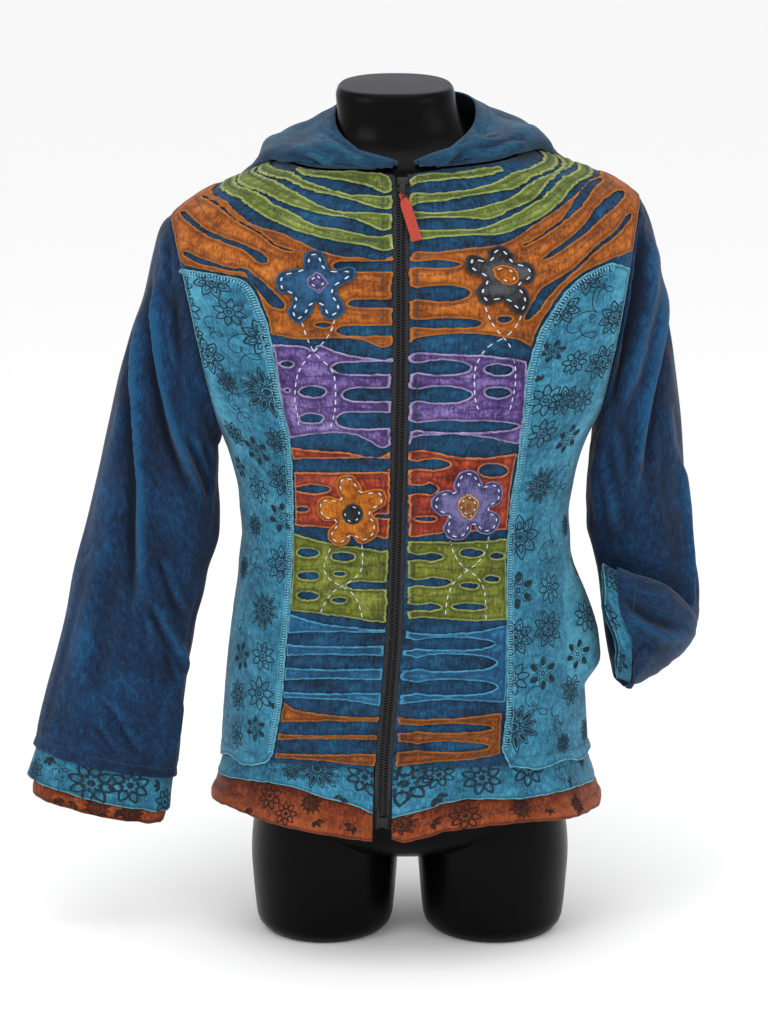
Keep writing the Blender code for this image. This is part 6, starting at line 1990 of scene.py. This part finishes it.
for side in (-1, 1):
    low, high = ARMPIT[side], SHOULDER_TIP
    begin, end = float(read(BODY, 1, low)), float(read(BODY, 1, high))
    bpy.ops.mesh.primitive_cube_add(size=0.4)
    block = bpy.context.object
    block.data.transform(Matrix.Translation(SHIFT + (side * (begin - 0.014), 0, low))
                         @ Matrix.Rotation(side * math.atan2(end - begin, high - low), 4, "Y")
                         @ Matrix.Translation((side * 0.2, 0, 0.1)))
    combined(form, block, "DIFFERENCE")
material, tree, shader = material_of("black_form_plastic")
place = add(tree, "ShaderNodeTexCoord").outputs["Object"]
haze = add(tree, "ShaderNodeTexNoise", {"Vector": place, "Scale": 14.0, "Detail": 4.0}).outputs["Fac"]
dust = add(tree, "ShaderNodeTexNoise", {"Vector": place, "Scale": 900.0, "Detail": 2.0}).outputs["Fac"]
above = add(tree, "ShaderNodeSeparateXYZ", {"Vector": place}).outputs["Z"]
normal = add(tree, "ShaderNodeNewGeometry").outputs["Normal"]
level_top = add(tree, "ShaderNodeSeparateXYZ", {"Vector": normal}).outputs["Z"]
# the cap is what lies level, above 840 mm
high_up = add(tree, "ShaderNodeMapRange", {"Value": above, "From Min": 0.837, "From Max": 0.845})
flat_top = add(tree, "ShaderNodeMapRange", {"Value": level_top, "From Min": 0.75, "From Max": 0.95})
cap = add(tree, "ShaderNodeMath", {0: high_up.outputs["Result"], 1: flat_top.outputs["Result"]},
          operation="MULTIPLY").outputs[0]
tint = add(tree, "ShaderNodeMix", {0: cap, 6: linear("#050506"), 7: linear("#454549")},
           data_type="RGBA")
tree.links.new(tint.outputs[2], shader.inputs["Base Color"])
# polished and wiped, so its gloss changes slowly over it; the cap is matt
rough = add(tree, "ShaderNodeMapRange", {
    "Value": haze, "From Min": 0.3, "From Max": 0.7, "To Min": 0.22, "To Max": 0.36}).outputs["Result"]
rough = add(tree, "ShaderNodeMath", {0: cap, 1: 0.35, 2: rough}, operation="MULTIPLY_ADD").outputs[0]
tree.links.new(rough, shader.inputs["Roughness"])
shader.inputs["Specular IOR Level"].default_value = 0.06
tree.links.new(add(tree, "ShaderNodeBump", {"Height": dust, "Strength": 0.03, "Distance": 0.0003}
                   ).outputs["Normal"], shader.inputs["Normal"])
form.data.materials.clear()
form.data.materials.append(material)
bpy.ops.object.select_all(action="DESELECT")
bpy.context.view_layer.objects.active = form
form.select_set(True)
bpy.ops.object.shade_smooth_by_angle(angle=math.radians(35))
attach(form, "jacket")
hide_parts("display_form")


# Zip
# A black moulded zip: woven tapes sewn behind the fronts' edges, two rows of plastic teeth that mesh,
# a box at the bottom, and a slider near the neck with its tab and a bare red tape knotted to it.
material, tree, shader = material_of("black_zip_tape")
cut = add(tree, "ShaderNodeUVMap", uv_map="cut").outputs["UV"]
twill = add(tree, "ShaderNodeTexWave", {"Vector": cut, "Scale": 260.0, "Distortion": 0.6},
            bands_direction="DIAGONAL")
grime = add(tree, "ShaderNodeTexNoise", {"Vector": cut, "Scale": 300.0, "Detail": 3.0}).outputs["Fac"]
tint = add(tree, "ShaderNodeMix", {0: grime, 6: linear("#0B0B0D"), 7: linear("#2A2A2E")},
           data_type="RGBA")
tree.links.new(tint.outputs[2], shader.inputs["Base Color"])
raised = add(tree, "ShaderNodeBump", {
    "Height": twill.outputs["Fac"], "Strength": 0.5, "Distance": 0.0003}).outputs["Normal"]
tree.links.new(raised, shader.inputs["Normal"])
shader.inputs["Roughness"].default_value = 0.9
levels = np.linspace(0.142, 0.776, 90)
for side in (-1, 1):
    name = "zip_tape_right" if side < 0 else "zip_tape_left"
    spread = 0.0035 * ease(levels, 0.760, 0.778)
    outline = [beside_zip(level_, side * (0.0030 + more)) for level_, more in zip(levels, spread)]
    outline += [beside_zip(level_, side * (0.0082 + more))
                for level_, more in zip(levels[::-1], spread[::-1])]
    piece = cloth(name, np.array(outline).reshape(-1, 2), material, lift=-0.0002, wall=0.0009,
                  grain=0.0024, outward=False)
    piece["cut_size"] = [0.0102, float(levels[-1] - levels[0])]
    dress(piece, name)

plastic, tree, shader = material_of("black_zip_plastic")
place = add(tree, "ShaderNodeTexCoord").outputs["Object"]
scuff = add(tree, "ShaderNodeTexNoise", {"Vector": place, "Scale": 500.0, "Detail": 3.0}).outputs["Fac"]
rough = add(tree, "ShaderNodeMapRange", {"Value": scuff, "To Min": 0.30, "To Max": 0.55})
tree.links.new(rough.outputs["Result"], shader.inputs["Roughness"])
raised = add(tree, "ShaderNodeBump", {"Height": scuff, "Strength": 0.15, "Distance": 0.0002})
tree.links.new(raised.outputs["Normal"], shader.inputs["Normal"])
tint = add(tree, "ShaderNodeMix", {0: scuff, 6: linear("#08080A"), 7: linear("#19191C")},
           data_type="RGBA")
tree.links.new(tint.outputs[2], shader.inputs["Base Color"])
shader.inputs["Specular IOR Level"].default_value = 0.3


def on_zip(height, lift):
    """Places on the zip's middle line."""
    return on_body(turn_at(zip_x(height), height), height, lift)


def axes_of(across, up, out, place):
    """The matrix that puts a block made at the origin in its place."""
    matrix = np.eye(4)
    matrix[:3, 0], matrix[:3, 1], matrix[:3, 2], matrix[:3, 3] = across, up, out, place
    return Matrix(matrix.tolist())


def rounded_block(size, place, bevel, taper=1.0):
    """A moulded block: x across, y up, z outward; taper narrows its lower end."""
    bpy.ops.object.select_all(action="DESELECT")
    bpy.ops.mesh.primitive_cube_add(size=1)
    block = bpy.context.object
    block.data.transform(Matrix.Diagonal((*size, 1)))
    for vert in block.data.vertices:
        if vert.co.y < 0:
            vert.co.x *= taper
    block.data.transform(Matrix.Translation(place))
    edge = block.modifiers.new("edge", "BEVEL")
    edge.width = bevel
    edge.segments = 3
    bpy.ops.object.modifier_apply(modifier="edge")
    return block


def as_one(name, blocks, material, axes, body, slot, *nodes):
    """Join blocks to one piece, put it in place and fix it."""
    bpy.ops.object.select_all(action="DESELECT")
    for block in blocks:
        block.select_set(True)
    bpy.context.view_layer.objects.active = blocks[0]
    bpy.ops.object.join()
    piece = blocks[0]
    piece.data.transform(axes)
    piece.name = piece.data.name = name
    piece.data.materials.clear()
    piece.data.materials.append(material)
    bpy.ops.object.shade_smooth_by_angle(angle=math.radians(40))
    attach(piece, body)
    if nodes:
        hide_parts(*nodes)
    return piece


TOOTH_STEP = 0.0013      # from a tooth to the next one, which belongs to the other side
TOOTH_ASIDE = 0.00125
tooth = rounded_block((0.0036, 0.0015, 0.0023), (0, 0, 0), 0.0003)
tooth_verts = np.array([tuple(vert.co) for vert in tooth.data.vertices])
tooth_faces = [tuple(face.vertices) for face in tooth.data.polygons]
bpy.data.objects.remove(tooth)
verts, faces = [], []
levels = np.arange(0.1560, 0.7640, TOOTH_STEP)
middles = on_zip(levels, 0.0006)
outs = on_zip(levels, 0.0016) - middles
ups = np.gradient(middles, axis=0)
for at, (middle, out, up) in enumerate(zip(middles, outs, ups)):
    up, out = up / np.linalg.norm(up), out / np.linalg.norm(out)
    right = np.cross(up, out)
    local = tooth_verts + (TOOTH_ASIDE if at % 2 else -TOOTH_ASIDE, 0, 0)
    faces += [tuple(index + len(verts) * len(tooth_verts) for index in face) for face in tooth_faces]
    verts.append(middle + local[:, :1] * right + local[:, 1:2] * up + local[:, 2:] * out)
chain = make_mesh("zip_teeth", np.concatenate(verts), faces, plastic)
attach(chain, "jacket")
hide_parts("zip_chain")


def local_axes(height, lift):
    """Across, up and outward on the zip at a height."""
    heights = np.array([height - 0.004, height, height + 0.004])
    line = on_zip(heights, lift)
    out = on_zip(heights, lift + 0.001)[1] - line[1]
    up = line[2] - line[0]
    up, out = up / np.linalg.norm(up), out / np.linalg.norm(out)
    return axes_of(np.cross(up, out), up, out, line[1])


as_one("zip_box", [rounded_block((0.0120, 0.0100, 0.0032), (0, 0, 0.0002), 0.0008),
                   rounded_block((0.0026, 0.0150, 0.0026), (-0.0042, 0.006, 0.0002), 0.0005),
                   rounded_block((0.0100, 0.0012, 0.0006), (0, -0.0024, 0.0019), 0.0002)],
       plastic, local_axes(0.1490, 0.0006), "jacket", "black_zip_plastic")
# the pull's hinge, as in the CAD, with the slider's own axes
HINGE = np.array((0.0384, -0.09365, 0.76806))
across, up, out = (np.array(axis) for axis in (
    (1.0, 0.0008, 0.0017), (-0.0019, 0.414, 0.9103), (0.0, -0.9103, 0.414)))
at_hinge = axes_of(across, up, out, HINGE)
ears = [rounded_block((0.0011, 0.0044, 0.0040), (aside, 0, -0.0010), 0.0004)
        for aside in (-0.0043, 0.0043)]
as_one("zip_slider_body", [
    rounded_block((0.0112, 0.0150, 0.0014), (0, 0, -0.0034), 0.0006, 0.78),
    rounded_block((0.0112, 0.0150, 0.0012), (0, 0, -0.0060), 0.0005, 0.78),
    rounded_block((0.0034, 0.0110, 0.0022), (0, 0.0008, -0.0048), 0.0005), *ears],
    plastic, at_hinge, "jacket", "black_zip_plastic", "zip_slider")
bpy.ops.mesh.primitive_torus_add(major_radius=0.0026, minor_radius=0.0008, major_segments=28,
                                 minor_segments=10)
ring = bpy.context.object
ring.data.transform(Matrix.Translation((0, -0.0118, 0)))
bpy.ops.mesh.primitive_cylinder_add(vertices=20, radius=0.0011, depth=0.0070)
pin = bpy.context.object
pin.data.transform(Matrix.Rotation(math.pi / 2, 4, "Y"))
as_one("zip_tab", [rounded_block((0.0058, 0.0105, 0.0013), (0, -0.0052, 0), 0.0005, 0.86), ring, pin,
                   rounded_block((0.0026, 0.0060, 0.0004), (0, -0.0055, 0.00075), 0.0002)],
       plastic, at_hinge, "zip_pull", "black_zip_plastic", "zip_pull_tab")

# the tape: a flat ribbed ribbon, hanging a little to one side from a knot round the tab's end
material, tree, shader = material_of("red_ribbed_tape")
cut = add(tree, "ShaderNodeUVMap", uv_map="cut").outputs["UV"]
rib = add(tree, "ShaderNodeTexWave", {"Vector": cut, "Scale": 420.0, "Distortion": 0.3},
          bands_direction="Y")
fade = add(tree, "ShaderNodeTexNoise", {"Vector": cut, "Scale": 260.0, "Detail": 3.0}).outputs["Fac"]
tint = add(tree, "ShaderNodeMix", {0: fade, 6: linear("#8A2416"), 7: linear("#B83E28")},
           data_type="RGBA")
tree.links.new(tint.outputs[2], shader.inputs["Base Color"])
raised = add(tree, "ShaderNodeBump", {
    "Height": rib.outputs["Fac"], "Strength": 0.6, "Distance": 0.0003}).outputs["Normal"]
tree.links.new(raised, shader.inputs["Normal"])
shader.inputs["Roughness"].default_value = 0.75
STRIP_TURN = math.radians(17)
STRIP_LENGTH, STRIP_HALF = 0.0440, 0.00520
down = np.array((math.sin(STRIP_TURN), -math.cos(STRIP_TURN)))
over = np.array((math.cos(STRIP_TURN), math.sin(STRIP_TURN)))
grid = []
for step in np.linspace(0, 1, 34):
    half = STRIP_HALF - 0.0021 * math.exp(-(step / 0.10) ** 2)       # drawn in at the knot
    row = []
    for aside in np.linspace(-1, 1, 13):
        flat = np.array((0.0010, -0.0148)) + down * STRIP_LENGTH * step + over * half * aside
        deep = 0.0009 * math.sin(step * 5 + 0.6) + 0.0005 * math.sin(aside * 2.4 + step * 3)
        row.append(HINGE + across * flat[0] + up * flat[1] + out * (deep + 0.0006))
    grid.append(row)
skin = Skin(np.array(grid), False)
skin = Skin(np.array(grid), False, 1 if (skin.normals @ TOWARD).mean() > 0 else -1)
piece = skin.build("zip_pull_strip", material, 0.0011)
dress(piece, "zip_pull_strip", body="zip_pull")
knots = []
for turn, size, offset in ((0.3, 0.0030, (0.0008, -0.0142)), (-0.5, 0.0024, (-0.0006, -0.0128))):
    bpy.ops.mesh.primitive_torus_add(major_radius=size, minor_radius=0.0010, major_segments=30,
                                     minor_segments=10)
    knot = bpy.context.object
    knot.data.transform(Matrix.Translation((*offset, 0.0004)) @ Matrix.Rotation(turn, 4, "Z")
                        @ Matrix.Rotation(0.5, 4, "Y") @ Matrix.Diagonal((1.0, 0.62, 0.8, 1)))
    knots.append(knot)
material, tree, shader = material_of("red_knot_tape")
place = add(tree, "ShaderNodeTexCoord").outputs["Object"]
fade = add(tree, "ShaderNodeTexNoise", {"Vector": place, "Scale": 700.0, "Detail": 3.0}).outputs["Fac"]
tint = add(tree, "ShaderNodeMix", {0: fade, 6: linear("#7E2014"), 7: linear("#AC3924")},
           data_type="RGBA")
tree.links.new(tint.outputs[2], shader.inputs["Base Color"])
raised = add(tree, "ShaderNodeBump", {"Height": fade, "Strength": 0.6, "Distance": 0.0004})
tree.links.new(raised.outputs["Normal"], shader.inputs["Normal"])
shader.inputs["Roughness"].default_value = 0.8
as_one("zip_pull_knot", knots, material, at_hinge, "zip_pull", "red_pull_cloth")
